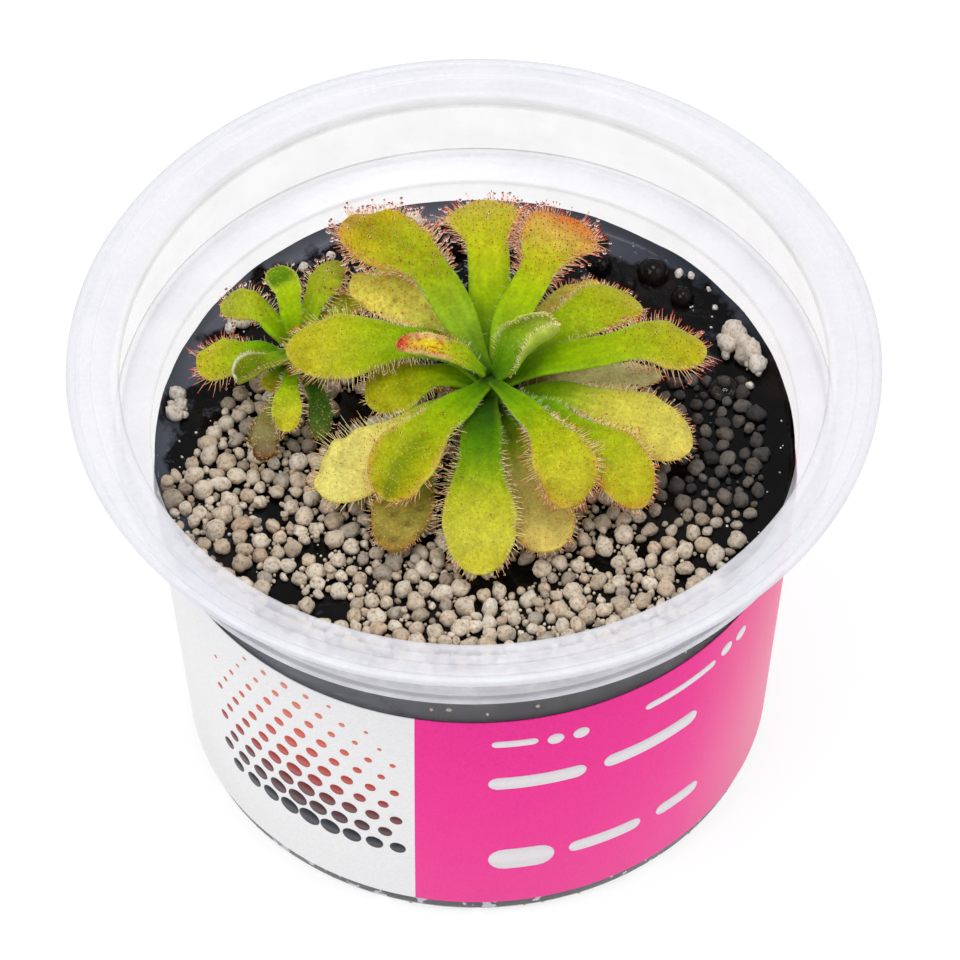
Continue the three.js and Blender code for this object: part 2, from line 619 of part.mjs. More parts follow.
// A leaf solid, with tentacles round the margin of its blade and on its face.
function leafGeometry(faces, others, taken, random) {
  const skin = new Skin();
  const { stations, columns } = faces.grid;
  const last = columns.length - 1;
  const reach = Math.min(TENTACLE_REACH, faces.row.blade * 0.42);

  // One strip of a face between a margin line and the next line in.
  const marginStrip = (margin, inner0, inner1, flip) => {
    const turn = margin.length - 2;
    const put = (a, b, c) => (flip ? skin.triangle(c, b, a) : skin.triangle(a, b, c));
    for (let k = 0; k < turn; k += 1) put(margin[k], inner0, margin[k + 1]);
    put(margin[turn], inner0, inner1);
    put(margin[turn], inner1, margin[turn + 1]);
  };

  // The tip of a tentacle, or null where it would touch something.
  const tentacleTip = (root, direction, length) => {
    const tip = root.clone().addScaledVector(direction, length);
    if (!isClear(root, tip, others) || !isClear(root, tip, taken)) return null;
    return tip;
  };

  const marks = [];
  for (let i = 0; i + 1 < stations.length; i += 1) {
    const [upper0, upper1] = [faces.top[i], faces.top[i + 1]];
    const [lower0, lower1] = [faces.bottom[i], faces.bottom[i + 1]];
    const length = upper0[0].distanceTo(upper1[0]);
    for (const edge of [0, last]) {
      const next = edge === 0 ? 1 : last - 1;
      const out = edge === 0 ? -1 : 1;
      const direction = faces.sides[i].clone().multiplyScalar(out);
      direction.addScaledVector(faces.normals[i], 0.15 + 0.3 * random());
      direction.addScaledVector(faces.tangents[i], 0.15 + 0.6 * Math.max(0, stations[i] - 0.6) * 2);
      direction.normalize();
      const middle = upper0[edge].clone().lerp(upper1[edge], 0.5);
      const size = reach * (0.75 + 0.35 * random());
      const wanted = stations[i] >= BLADE_START;
      const tip = wanted ? tentacleTip(middle, direction, size) : null;
      const share = Math.min(0.25, TENTACLE_BASE / 2 / Math.max(length, 0.01));
      const cuts = tip ? [0, 0.5 - share, 0.5 + share, 1] : [0, 1];
      const upper = cuts.map((cut) => upper0[edge].clone().lerp(upper1[edge], cut));
      const lower = cuts.map((cut) => lower0[edge].clone().lerp(lower1[edge], cut));
      const flip = edge !== 0;
      marginStrip(upper, upper0[next], upper1[next], flip);
      marginStrip(lower, lower0[next], lower1[next], !flip);
      for (let k = 0; k + 1 < cuts.length; k += 1) {
        const corners = [upper[k], upper[k + 1], lower[k + 1], lower[k]];
        if (flip) corners.reverse();
        if (tip && k === 1) skin.spike(...corners, tip);
        else skin.quad(...corners);
      }
      if (tip) marks.push(middle.clone().lerp(tip, 0.5), tip);
    }
    for (let j = 1; j < last - 1; j += 1) {
      const [a, b, c, d] = [upper0[j], upper0[j + 1], upper1[j + 1], upper1[j]];
      const wanted = stations[i] >= 0.55 && stations[i] < 0.9 && (i + j) % 2 === 0;
      const root = a.clone().add(b).add(c).divideScalar(3);
      const up = faces.normals[i].clone();
      const tip = wanted ? tentacleTip(root, up, 1.1 + 0.5 * random()) : null;
      if (tip) {
        skin.stud(a, b, c, tip);
        marks.push(tip);
      } else {
        skin.triangle(a, b, c);
      }
      skin.triangle(a, c, d);
      skin.triangle(lower0[j + 1], lower0[j], lower1[j + 1]);
      skin.triangle(lower0[j], lower1[j], lower1[j + 1]);
    }
  }

  const end = stations.length - 1;
  for (let j = 0; j < last; j += 1) {
    skin.quad(faces.bottom[0][j], faces.bottom[0][j + 1], faces.top[0][j + 1], faces.top[0][j]);
    const corners = [
      faces.bottom[end][j + 1], faces.bottom[end][j], faces.top[end][j], faces.top[end][j + 1],
    ];
    const root = corners[0].clone().lerp(corners[2], 0.5);
    const fan = faces.sides[end].clone().multiplyScalar((j + 0.5 - last / 2) * 0.35);
    const direction = faces.tangents[end].clone().add(fan).normalize();
    const tip = j % 2 === 0 ? tentacleTip(root, direction, reach) : null;
    if (tip) {
      skin.spike(...corners, tip);
      marks.push(root.clone().lerp(tip, 0.5), tip);
    } else {
      skin.quad(...corners);
    }
  }
  taken.push(...marks);
  return skin.geometry();
}

// --------------------------------------------------------------- folded leaf
// The youngest leaf is still folded: a stout pod that leans out of the crown,
// with a fold line along its back.
const BUD_PATH = [[3.1, 3.9, 58.6], [5, 4.5, 60], [7.4, 5.1, 60.8], [9.6, 5.8, 61]];
const BUD_WIDTHS = [1.6, 4.4, 4.9, 3.4, 1.2];

function budGeometry() {
  const curve = new THREE.CatmullRomCurve3(BUD_PATH.map((point) => new THREE.Vector3(...point)));
  const skin = new Skin();
  const sides = 8;
  const rings = BUD_WIDTHS.map((width, i) => {
    const s = i / (BUD_WIDTHS.length - 1);
    const centre = curve.getPointAt(s);
    const tangent = curve.getTangentAt(s);
    const side = new THREE.Vector3().crossVectors(tangent, new THREE.Vector3(0, 0, 1)).normalize();
    const up = new THREE.Vector3().crossVectors(side, tangent);
    const ring = [];
    for (let k = 0; k < sides; k += 1) {
      const angle = (k * 2 * Math.PI) / sides;
      const fold = k === 2 ? 0.72 : 1;
      const point = centre.clone().addScaledVector(side, (width / 2) * Math.cos(angle));
      ring.push(point.addScaledVector(up, width * 0.36 * fold * Math.sin(angle)));
    }
    return ring;
  });
  for (let i = 0; i + 1 < rings.length; i += 1) {
    for (let k = 0; k < sides; k += 1) {
      const next = (k + 1) % sides;
      skin.quad(rings[i][k], rings[i][next], rings[i + 1][next], rings[i + 1][k]);
    }
  }
  const end = rings[rings.length - 1];
  for (let k = 1; k + 1 < sides; k += 1) {
    skin.triangle(rings[0][0], rings[0][k + 1], rings[0][k]);
    skin.triangle(end[0], end[k], end[k + 1]);
  }
  return skin.geometry();
}

// ------------------------------------------------------------------ assembly
const plant = new THREE.Group();

function addPiece(name, geometry, material) {
  const mesh = new THREE.Mesh(geometry, material);
  mesh.name = name;
  plant.add(mesh);
}

addPiece('cup', closedSolid(cupGeometry()), finish(0xe6e9f0, 0.35));
addPiece('label_band', closedSolid(bandGeometry()), finish(0xf0459b, 0.5));
addPiece('gel', gelGeometry(), finish(0x17151a, 0.15));
addPiece('granule_bed', bedGeometry(), finish(0xcfc4b2, 0.9));
addPiece('granule_clump_left', clumpGeometry(LEFT_CLUMP, GRANULE_SEED), finish(0xd8cdbc, 0.9));
addPiece('granule_clump_right', clumpGeometry(RIGHT_CLUMP, GRANULE_SEED), finish(0xe6e1d8, 0.9));
addPiece('crown_stem', closedSolid(stemGeometry(ROSETTE_STEM)), finish(0x5c8a14, 0.6));
addPiece('offset_stem', closedSolid(stemGeometry(OFFSET_STEM)), finish(0x5c8a14, 0.6));
addPiece('folded_leaf', budGeometry(), finish(0x9bb83a, 0.6));

const allFaces = [
  ...ROSETTE_LEAVES.map((row) => leafFaces(row, ROSETTE_GRID, ROSETTE_STEM)),
  ...OFFSET_LEAVES.map((row) => leafFaces(row, OFFSET_GRID, OFFSET_STEM)),
];
const samples = allFaces.map(samplePoints);
const budPoints = [];
const budPosition = plant.getObjectByName('folded_leaf').geometry.getAttribute('position');
for (let i = 0; i < budPosition.count; i += 1) {
  budPoints.push(new THREE.Vector3().fromBufferAttribute(budPosition, i));
}
const takenPoints = [...budPoints];
const tentacleRandom = randomSource(TENTACLE_SEED);
allFaces.forEach((faces, index) => {
  const others = samples.filter((_, other) => other !== index).flat();
  const geometry = leafGeometry(faces, others, takenPoints, tentacleRandom);
  addPiece(faces.row.name, geometry, finish(COLOURS[faces.row.colour], 0.55));
});

export default plant;
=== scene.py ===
# A sundew rosette with a side plantlet in its stepped, translucent cup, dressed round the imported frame.
# Lengths are in millimetres until a mesh is made, +Z is up, and the origin is the centre of the cup's foot.
import json
import math

import bpy
import numpy as np
from mathutils import Matrix, Vector
from mathutils.bvhtree import BVHTree


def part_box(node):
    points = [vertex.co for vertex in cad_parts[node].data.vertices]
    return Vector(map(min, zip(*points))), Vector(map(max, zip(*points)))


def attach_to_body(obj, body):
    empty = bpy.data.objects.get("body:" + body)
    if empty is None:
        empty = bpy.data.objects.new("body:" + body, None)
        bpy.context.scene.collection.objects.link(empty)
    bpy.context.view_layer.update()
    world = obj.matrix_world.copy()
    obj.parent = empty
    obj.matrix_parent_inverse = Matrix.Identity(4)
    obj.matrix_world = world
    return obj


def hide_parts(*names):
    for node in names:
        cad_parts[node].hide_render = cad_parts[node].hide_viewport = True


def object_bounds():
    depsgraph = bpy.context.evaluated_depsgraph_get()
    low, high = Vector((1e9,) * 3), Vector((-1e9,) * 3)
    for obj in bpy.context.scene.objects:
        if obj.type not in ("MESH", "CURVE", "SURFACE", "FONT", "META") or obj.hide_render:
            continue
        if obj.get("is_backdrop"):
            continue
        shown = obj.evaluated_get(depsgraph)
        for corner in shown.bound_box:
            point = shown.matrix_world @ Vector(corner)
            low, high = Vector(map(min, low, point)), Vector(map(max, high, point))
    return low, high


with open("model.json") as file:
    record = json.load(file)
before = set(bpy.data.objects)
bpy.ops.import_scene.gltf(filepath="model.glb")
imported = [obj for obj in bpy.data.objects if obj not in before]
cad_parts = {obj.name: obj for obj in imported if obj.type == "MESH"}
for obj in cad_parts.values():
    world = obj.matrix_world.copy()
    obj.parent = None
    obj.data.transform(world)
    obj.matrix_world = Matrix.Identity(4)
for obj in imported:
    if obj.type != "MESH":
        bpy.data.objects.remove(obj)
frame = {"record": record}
SLOTS = {part["node"]: part["material_slot"] for part in frame["record"]["subparts"]}
CAD_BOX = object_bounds()

MM = 0.001
UP = np.array([0.0, 0.0, 1.0])
random = np.random.RandomState(7)


# ------------------------------------------------------------------ dimensions
CUP_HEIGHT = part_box("cup")[1].z / MM
RIM_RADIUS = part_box("cup")[1].x / MM
WALL = 0.4
FOOT_WALL = 0.2              # the wall at the foot
THIN_HEIGHT = 6              # where it begins to thin
BASE_RADIUS = 35.3
BASE_CORNER = 1.3
NECK_RADIUS = 40.19
NECK_HEIGHT = 50.9
STEP_RADIUS = 44.0
STEP_HEIGHT = 51.9
TURNS = 256                  # sides of what is turned about the cup's axis
FLOOR_HEIGHT = 0.45
FOOT_SKIN = 0.12             # plastic under the gel at the foot ring
FOOT_INNER = 30.4
FOOT_RECESS = 0.3
CREASE_RADIUS = 46.8
ROLL_RADIUS = 48.7           # where the rim's rolled edge begins

GEL_HEIGHT = 46.5
GEL_GAP = 0.04
BAND_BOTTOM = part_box("label_band")[0].z / MM
BAND_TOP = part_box("label_band")[1].z / MM
LABEL_GAP = 0.05
LABEL_THICKNESS = 0.15
LABEL_SPLIT = -13.0          # degrees from the front to where the two panels meet at the foot
LABEL_SLANT = 0.0396         # degrees more for each millimetre up, which makes that line upright
LABEL_FAR_SPLIT = -162.0     # where they meet again at the back

LEAF_ROOT = 0.7              # each leaf grows from this far off the middle of its stem


def wall_radius(height):
    """Outside radius of the tapered lower wall."""
    taper = (NECK_RADIUS - BASE_RADIUS) / (NECK_HEIGHT - BASE_CORNER)
    return BASE_RADIUS + taper * (height - BASE_CORNER)


# ---------------------------------------------------------------------- camera
VIEW_SIZE = 960
PIXELS_PER_MM = 8.17
RIM_CENTRE_PIXEL = (473.9, 367.5)
CAMERA_ELEVATION = math.radians(50.3)
CAMERA_ROLL = math.radians(0.65)
CAMERA_DISTANCE = 4000.0
SENSOR_WIDTH = 36.0


def add_camera():
    """Looks down at the front of the cup from far off, so that the view is almost parallel."""
    right = Vector((1, 0, 0))
    up = Vector((0, math.sin(CAMERA_ELEVATION), math.cos(CAMERA_ELEVATION)))
    back = Vector((0, -math.cos(CAMERA_ELEVATION), math.sin(CAMERA_ELEVATION)))
    cos, sin = math.cos(CAMERA_ROLL), math.sin(CAMERA_ROLL)
    right, up = right * cos - up * sin, right * sin + up * cos
    across = (RIM_CENTRE_PIXEL[0] - VIEW_SIZE / 2) / PIXELS_PER_MM
    above = (VIEW_SIZE / 2 - RIM_CENTRE_PIXEL[1]) / PIXELS_PER_MM
    aim = Vector((0, 0, CUP_HEIGHT)) - right * across - up * above
    place = (aim + back * CAMERA_DISTANCE) * MM
    data = bpy.data.cameras.new("camera")
    data.sensor_width = SENSOR_WIDTH
    data.lens = PIXELS_PER_MM * CAMERA_DISTANCE * SENSOR_WIDTH / VIEW_SIZE
    camera = bpy.data.objects.new("camera", data)
    turn = Matrix((right, up, back)).transposed().to_4x4()
    camera.matrix_world = Matrix.Translation(place) @ turn
    bpy.context.scene.collection.objects.link(camera)
    bpy.context.scene.camera = camera


# --------------------------------------------------------------- small helpers
def srgb(red, green, blue):
    """A colour given as it shows on a display, 0 to 255, as linear values."""
    values = np.array([red, green, blue]) / 255
    return np.where(values <= 0.04045, values / 12.92, ((values + 0.055) / 1.055) ** 2.4)


def smoothstep(low, high, value):
    t = np.clip((value - low) / (high - low), 0, 1)
    return t * t * (3 - 2 * t)


def mix(a, b, share):
    return a + (b - a) * share


def unit(vectors):
    return vectors / np.maximum(np.linalg.norm(vectors, axis=-1, keepdims=True), 1e-9)


def stops(table, position):
    """Colours at each position, from a table of (position, red, green, blue)."""
    places = [row[0] for row in table]
    colours = np.array([srgb(*row[1:]) for row in table])
    channels = [np.interp(position, places, colours[:, k]) for k in range(3)]
    return np.stack(channels, axis=-1)


def ripple(points, waves, seed):
    """Smooth noise from -1 to 1 at points: a few sine waves in random directions."""
    source = np.random.RandomState(seed)
    total = np.zeros(len(points))
    for wave in waves:
        direction = unit(source.normal(size=(1, 3)))[0] * (2 * math.pi / wave)
        total += np.sin(points @ direction + source.uniform(0, 2 * math.pi))
    return total / len(waves)


class Shell:
    """Collects vertices, faces and vertex colours of one mesh. A colour's fourth value is 1 on bald skin."""

    def __init__(self):
        self.points, self.faces, self.tints, self.count = [], [], [], 0

    def add(self, points, faces, tints=(1, 1, 1)):
        points = np.asarray(points, float).reshape(-1, 3)
        self.points.append(points)
        if isinstance(faces, np.ndarray):
            self.faces.extend((faces + self.count).tolist())
        else:
            self.faces.extend([index + self.count for index in face] for face in faces)
        self.tints.append(np.broadcast_to(tints, (len(points), np.shape(tints)[-1])))
        self.count += len(points)
        return self

    def piece(self, name, material, slot, replaced=()):
        mesh = bpy.data.meshes.new(name)
        mesh.from_pydata((np.concatenate(self.points) * MM).tolist(), [], self.faces)
        tint = mesh.color_attributes.new("tint", "FLOAT_COLOR", "POINT")
        rgba = np.concatenate(self.tints)
        if rgba.shape[1] == 3:
            rgba = np.concatenate([rgba, np.ones((len(rgba), 1))], axis=1)
        tint.data.foreach_set("color", rgba.astype(np.float32).ravel())
        mesh.shade_smooth()
        mesh.materials.append(material)
        piece = bpy.data.objects.new(name, mesh)
        bpy.context.scene.collection.objects.link(piece)
        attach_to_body(piece, "root")
        if replaced:
            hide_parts(*replaced)


def revolved(profile, segments):
    """Points and faces of a profile of (radius, height) points turned about Z. It may end on the axis."""
    angles = np.linspace(0, 2 * math.pi, segments, endpoint=False)
    points, rings = [], []
    for radius, height in profile:
        rings.append(len(points))
        turns = angles if radius > 1e-6 else angles[:1]
        points.extend((radius * math.sin(a), -radius * math.cos(a), height) for a in turns)
    faces = []
    for ring, (radius, _) in enumerate(profile[:-1]):
        low, high = rings[ring], rings[ring + 1]
        pole_low, pole_high = radius <= 1e-6, profile[ring + 1][0] <= 1e-6
        for k in range(segments):
            n = (k + 1) % segments
            if pole_low:
                faces.append((low, high + n, high + k))
            elif pole_high:
                faces.append((low + k, low + n, high))
            else:
                faces.append((low + k, low + n, high + n, high + k))
    return np.array(points), faces


def rounded(profile, radius, steps=3):
    """The profile with each of its corners replaced by a short curve."""
    points = [np.array(point, float) for point in profile]
    result = [points[0]]
    for before, corner, after in zip(points, points[1:], points[2:]):
        back, ahead = before - corner, after - corner
        cut = min(radius, 0.45 * np.linalg.norm(back), 0.45 * np.linalg.norm(ahead))
        start = corner + back / np.linalg.norm(back) * cut
        end = corner + ahead / np.linalg.norm(ahead) * cut
        for t in np.linspace(0, 1, steps + 1):
            result.append(start * (1 - t) ** 2 + corner * 2 * t * (1 - t) + end * t * t)
    result.append(points[-1])
    return [tuple(point) for point in result]


def skin_faces(rows, columns):
    """Faces of a closed skin: two layers of rows x columns points, joined all round."""
    shift = rows * columns
    faces = []
    for i in range(rows - 1):
        for j in range(columns - 1):
            a, b = i * columns + j, (i + 1) * columns + j
            faces.append((a, a + 1, b + 1, b))
            faces.append((a + shift, b + shift, b + 1 + shift, a + 1 + shift))
        for j, flip in ((0, False), (columns - 1, True)):
            a, b = i * columns + j, (i + 1) * columns + j
            quad = (a, b, b + shift, a + shift)
            faces.append(quad[::-1] if flip else quad)
    for a in range(columns - 1):
        b = shift - columns + a
        faces.append((a + shift, a + 1 + shift, a + 1, a))
        faces.append((b, b + 1, b + 1 + shift, b + shift))
    return faces


def sphere(level):
    """Points and triangles of an icosphere of radius 1, split `level` times."""
    golden = (1 + 5 ** 0.5) / 2
    points = [np.roll((x, y * golden, 0), axis) for axis in range(3) for y in (1, -1) for x in (-1, 1)]
    faces = [(0, 11, 5), (0, 5, 1), (0, 1, 7), (0, 7, 10), (0, 10, 11),
             (1, 5, 9), (5, 11, 4), (11, 10, 2), (10, 7, 6), (7, 1, 8),
             (3, 9, 4), (3, 4, 2), (3, 2, 6), (3, 6, 8), (3, 8, 9),
             (4, 9, 5), (2, 4, 11), (6, 2, 10), (8, 6, 7), (9, 8, 1)]
    points = [tuple(unit(point)) for point in points]
    for _ in range(level):
        middles = {}

        def middle(a, b):
            key = (min(a, b), max(a, b))
            if key not in middles:
                middles[key] = len(points)
                points.append(tuple(unit((np.array(points[a]) + np.array(points[b])) / 2)))
            return middles[key]

        split = []
        for a, b, c in faces:
            ab, bc, ca = middle(a, b), middle(b, c), middle(c, a)
            split += [(a, ab, ca), (b, bc, ab), (c, ca, bc), (ab, bc, ca)]
        faces = split
    return np.array(points), np.array(faces)


SPHERES = [sphere(level) for level in range(4)]


# ------------------------------------------------------------------- materials
MOST_OPAQUE = 0.92
FILM_EDGE = 36.3             # grey film, partly dried film and partly painted sheen, lies on the gel from about here out to the wall
FLOOR_GLOW = 0.83
# A painted sheen lightens the label's colour between the first two of these angles from the front, and goes
# again between the last two.
FADED = (43, 66, 90, 140)
# The finest glands on a blade: how far apart, how strong, and their colour.
GLANDS = [(0.3, 0.4, srgb(104, 134, 4)), (0.4, 0.5, srgb(224, 226, 122)), (0.62, 0.3, srgb(190, 110, 34))]


class Look:
    """A material with one Principled shader, and short ways to feed it."""

    def __init__(self, name, **values):
        self.material = bpy.data.materials.new(name)
        self.material.use_nodes = True
        self.nodes = self.material.node_tree.nodes
        self.links = self.material.node_tree.links
        self.shader = self.nodes["Principled BSDF"]
        for socket, value in values.items():
            self.feed(socket.replace("_", " "), value)

    def put(self, socket, value):
        """Sets a socket to a number or a colour, or links what another node gives."""
        if isinstance(value, (int, float)):
            socket.default_value = value
        elif isinstance(value, (tuple, np.ndarray)):
            socket.default_value = (*value, 1)[:len(socket.default_value)]
        else:
            self.links.new(value, socket)

    def feed(self, socket, value):
        self.put(self.shader.inputs[socket], value)

    def node(self, kind, output, **values):
        """What a new node gives, from its properties and inputs."""
        node = self.nodes.new(kind)
        for name, value in values.items():
            if hasattr(node, name):
                setattr(node, name, value)
            else:
                self.put(node.inputs[name.replace("_", " ")], value)
        return node.outputs[output]

    def place(self):
        return self.node("ShaderNodeTexCoord", "Object")

    def axes(self):
        """The three parts of the place: to the right, to the back and up, in metres."""
        split = self.node("ShaderNodeSeparateXYZ", "X", Vector=self.place()).node
        return split.outputs["X"], split.outputs["Y"], split.outputs["Z"]

    def noise(self, size, detail=3.0, roughness=0.5):
        """A value from 0 to 1 that changes over about `size` millimetres."""
        return self.node("ShaderNodeTexNoise", "Fac", Vector=self.place(), Scale=1 / (size * MM),
                         Detail=detail, Roughness=roughness)

    def ramp(self, value, table):
        factor = self.node("ShaderNodeValToRGB", "Color", Fac=value)
        elements = factor.node.color_ramp.elements
        while len(elements) < len(table):
            elements.new(0.5)
        for element, (position, colour) in zip(elements, table):
            element.position = position
            element.color = (*colour, 1)
        return factor

    def spread(self, value, low, high, start, end):
        """The value's range from start to end, spread over low to high."""
        return self.node("ShaderNodeMapRange", "Result", Value=value, From_Min=start, From_Max=end,
                         To_Min=low, To_Max=high)

    def math(self, operation, *values):
        result = self.node("ShaderNodeMath", 0, operation=operation)
        for socket, value in zip(result.node.inputs, values):
            self.put(socket, value)
        return result

    def mix(self, share, a, b, blend="MIX"):
        node = self.nodes.new("ShaderNodeMix")
        node.data_type = "RGBA"
        node.blend_type = blend
        for socket, value in ((0, share), (6, a), (7, b)):
            self.put(node.inputs[socket], value)
        return node.outputs[2]

    def distance(self, x, y):
        return self.math("SQRT", self.math("ADD", self.math("POWER", x, 2.0), self.math("POWER", y, 2.0)))

    def dots(self, size):
        """1 in small dots about `size` millimetres apart, and 0 between them."""
        far = self.node("ShaderNodeTexVoronoi", "Distance", Vector=self.place(), Scale=1 / (size * MM))
        return self.spread(far, 1.0, 0.0, 0.05, 0.32)

    def tint(self, output="Color"):
        return self.node("ShaderNodeVertexColor", output, layer_name="tint")

    def mottled(self, amount, *sizes):
        """The vertex tint, made lighter and darker by noise of the given sizes."""
        colour = self.tint()
        for size in sizes:
            shade = self.spread(self.noise(size), 1 - amount, 1 + amount, 0.25, 0.75)
            colour = self.node("ShaderNodeVectorMath", "Vector", operation="SCALE", Vector=colour,
                               Scale=shade)
        return colour

    def bump(self, value, height, strength):
        self.feed("Normal", self.node("ShaderNodeBump", "Normal", Height=value, Strength=strength,
                                      Distance=height * MM))


def cup_look():
    """Milky translucent plastic: clearest where wet gel lies against it, whitest in the thick corners."""
    look = Look("cup_plastic", IOR=1.45, Base_Color=srgb(241, 241, 248))
    gel, neck, step, top = GEL_HEIGHT, NECK_HEIGHT, STEP_HEIGHT, CUP_HEIGHT
    levels = [                # height, how milky
        (0.0, 0.03), (FLOOR_HEIGHT, 0.04), (gel - 1.0, 0.07), (gel + 0.6, 0.1), (neck - 0.4, 0.12),
        (neck + 0.2, 0.36), (step, 0.3), (step + 0.25, 0.7), (step + 0.6, 0.6), (step + 0.8, 0.13),
        (top - 2.2, 0.11), (top - 1.2, 0.5), (top - 0.5, 0.42), (top - 0.25, 0.44), (top - 0.1, 0.64),
    ]
    x, y, z = look.axes()
    milk = look.ramp(look.math("MULTIPLY", z, 1 / MM / top),
                     [(level / top, (value,) * 3) for level, value in levels])
    cloud = look.spread(look.noise(6, detail=5, roughness=0.6), 0.92, 1.3, 0.4, 0.7)
    roll = look.spread(look.distance(x, y), 0.0, 0.16, (ROLL_RADIUS - 0.3) * MM, (ROLL_RADIUS + 0.4) * MM)
    opaque = look.math("ADD", look.math("MULTIPLY", milk, cloud), roll)
    look.feed("Alpha", look.math("MINIMUM", opaque, MOST_OPAQUE))
    look.feed("Roughness", look.spread(look.noise(9), 0.2, 0.4, 0.3, 0.7))
    look.bump(look.noise(7, detail=2), 0.12, 0.22)
    return look.material


def label_look():
    """Printed film: a pale and a coloured panel that meet on two upright lines. On the right a painted sheen
    lightens the colour."""
    look = Look("label_print", Roughness=0.36, IOR=1.38, Specular_IOR_Level=0.25)
    x, y, z = look.axes()
    angle = look.math("ARCTAN2", x, look.math("MULTIPLY", y, -1.0))
    slant = look.math("MULTIPLY", z, math.radians(LABEL_SLANT) / MM)
    near = look.math("LESS_THAN", look.math("SUBTRACT", angle, slant), math.radians(LABEL_SPLIT))
    far = look.math("GREATER_THAN", angle, math.radians(LABEL_FAR_SPLIT))
    pale = look.math("MULTIPLY", near, far)
    start, full, last, end = (math.radians(degrees) for degrees in FADED)
    # painted sheen: the pink is lightened on the right of the cup, where a reflection of the light would lie
    faded = look.math("MINIMUM", look.spread(angle, 0.0, 0.45, start, full),
                      look.spread(angle, 0.45, 0.0, last, end))
    grain = look.spread(look.noise(0.35, detail=4), 0, 1, 0.35, 0.65)
    pink = look.mix(faded, look.mix(grain, srgb(246, 36, 149), srgb(250, 50, 157)), srgb(238, 140, 156))
    look.feed("Base Color", look.mix(pale, pink, look.mix(grain, srgb(238, 238, 240), srgb(246, 246, 247))))
    look.bump(look.noise(14, detail=1), 0.25, 0.25)
    return look.material


def ink_look(name, colour):
    look = Look(name, Roughness=0.4, IOR=1.38)
    grain = look.spread(look.noise(0.4, detail=4), 0, 1, 0.3, 0.7)
    look.feed("Base Color", look.mix(grain, colour, colour * 0.9 + 0.02))
    return look.material


def gel_look():
    """Almost black jelly with a wet skin. A grey film lies along the wall, but not on the right: partly dried
    film, partly a painted sheen that grows lighter towards the back. Pale grains show through the foot."""
    look = Look("gel", IOR=1.36, Specular_IOR_Level=0.3)
    x, y, z = look.axes()
    radius = look.distance(x, y)
    jelly = look.ramp(look.noise(11, detail=4),
                      [(0.3, srgb(4, 4, 6)), (0.55, srgb(11, 10, 10)), (0.72, srgb(30, 24, 22))])
    frayed = look.math("ADD", radius, look.spread(look.noise(7, detail=5), -3.4 * MM, 2.2 * MM, 0.3, 0.7))
    scum = look.math("MULTIPLY", look.spread(look.noise(4.5, detail=8, roughness=0.7), 0.0, 0.8, 0.56, 0.64),
                     look.spread(radius, 0.0, 1.0, 27 * MM, 33 * MM))
    film = look.math("MAXIMUM", look.spread(frayed, 0.0, 0.85, FILM_EDGE * MM, (FILM_EDGE + 0.9) * MM), scum)
    rightward = look.math("SUBTRACT", x, look.math("MULTIPLY", y, 0.8))
    film = look.math("MULTIPLY", film, look.spread(rightward, 1.0, 0.0, 16 * MM, 26 * MM))
    backward = look.math("SUBTRACT", y, look.math("MULTIPLY", x, 0.6))
    # painted sheen: the film's grey is made lighter towards the back
    skin = look.mix(look.spread(backward, 0.0, 1.0, 12 * MM, 38 * MM), srgb(68, 73, 86), srgb(104, 108, 120))
    dust = look.spread(look.noise(0.5, detail=2), 0.0, 1.0, 0.7, 0.76)
    colour = look.mix(film, jelly, look.mix(dust, skin, srgb(160, 162, 170)))
    grains = look.math("MULTIPLY", look.spread(z, 1.0, 0.0, 2.2 * MM, 3.0 * MM),
                       look.spread(look.noise(2.2, detail=3), 0.0, 1.0, 0.58, 0.61))
    look.feed("Base Color", look.mix(grains, colour, srgb(196, 198, 206)))
    look.feed("Roughness", look.spread(look.noise(3), 0.05, 0.2, 0.35, 0.75))
    look.bump(look.noise(2.6, detail=3), 0.25, 0.5)
    return look.material


def granule_look():
    """Porous mineral grains, dull and finely pitted."""
    look = Look("granule", Roughness=0.8, IOR=1.4)
    flat = look.spread(look.noise(0.42, detail=4, roughness=0.65), 0.0, 1.0, 0.36, 0.5)
    colour = look.mottled(0.18, 0.9)
    look.feed("Base Color", look.mix(flat, look.mix(1.0, colour, srgb(208, 192, 172), "MULTIPLY"), colour))
    look.bump(look.noise(0.42, detail=5, roughness=0.7), 0.16, 1.0)
    return look.material


def leaf_look():
    """Soft, juicy skin that lets light through, with a fine grain of cells and, on the blade, glands."""
    look = Look("leaf", Roughness=0.4, IOR=1.32, Specular_IOR_Level=0.12, Subsurface_Weight=0.22,
                Subsurface_Scale=0.9 * MM, Subsurface_Radius=(0.9, 1.0, 0.05), Sheen_Weight=0.12,
                Sheen_Roughness=0.45, Sheen_Tint=(0.9, 1, 0.55))
    colour = look.mottled(0.19, 1.9, 0.42)
    hairy = look.math("SUBTRACT", 1.0, look.tint("Alpha"))
    for size, share, tone in GLANDS:
        dots = look.math("MULTIPLY", look.dots(size), share)
        colour = look.mix(look.math("MULTIPLY", hairy, dots), colour, tone)
    look.feed("Base Color", colour)
    look.bump(look.noise(0.5, detail=4, roughness=0.6), 0.07, 0.6)
    return look.material


def tentacle_look():
    """Thin stalks and sticky heads, given a painted glow in their own colour for the light that shines
    through them.
    """
    look = Look("tentacle", Roughness=0.2, IOR=1.4, Emission_Strength=0.24)
    colour = look.mottled(0.1, 0.8)
    look.feed("Base Color", colour)
    # painted glow: the tentacles emit their own colour
    look.feed("Emission Color", colour)
    return look.material


def dew_look():
    """Clear, sticky drops."""
    return Look("dew", Roughness=0.0, IOR=1.35, Transmission_Weight=1.0, Base_Color=(1, 0.98, 0.96)).material


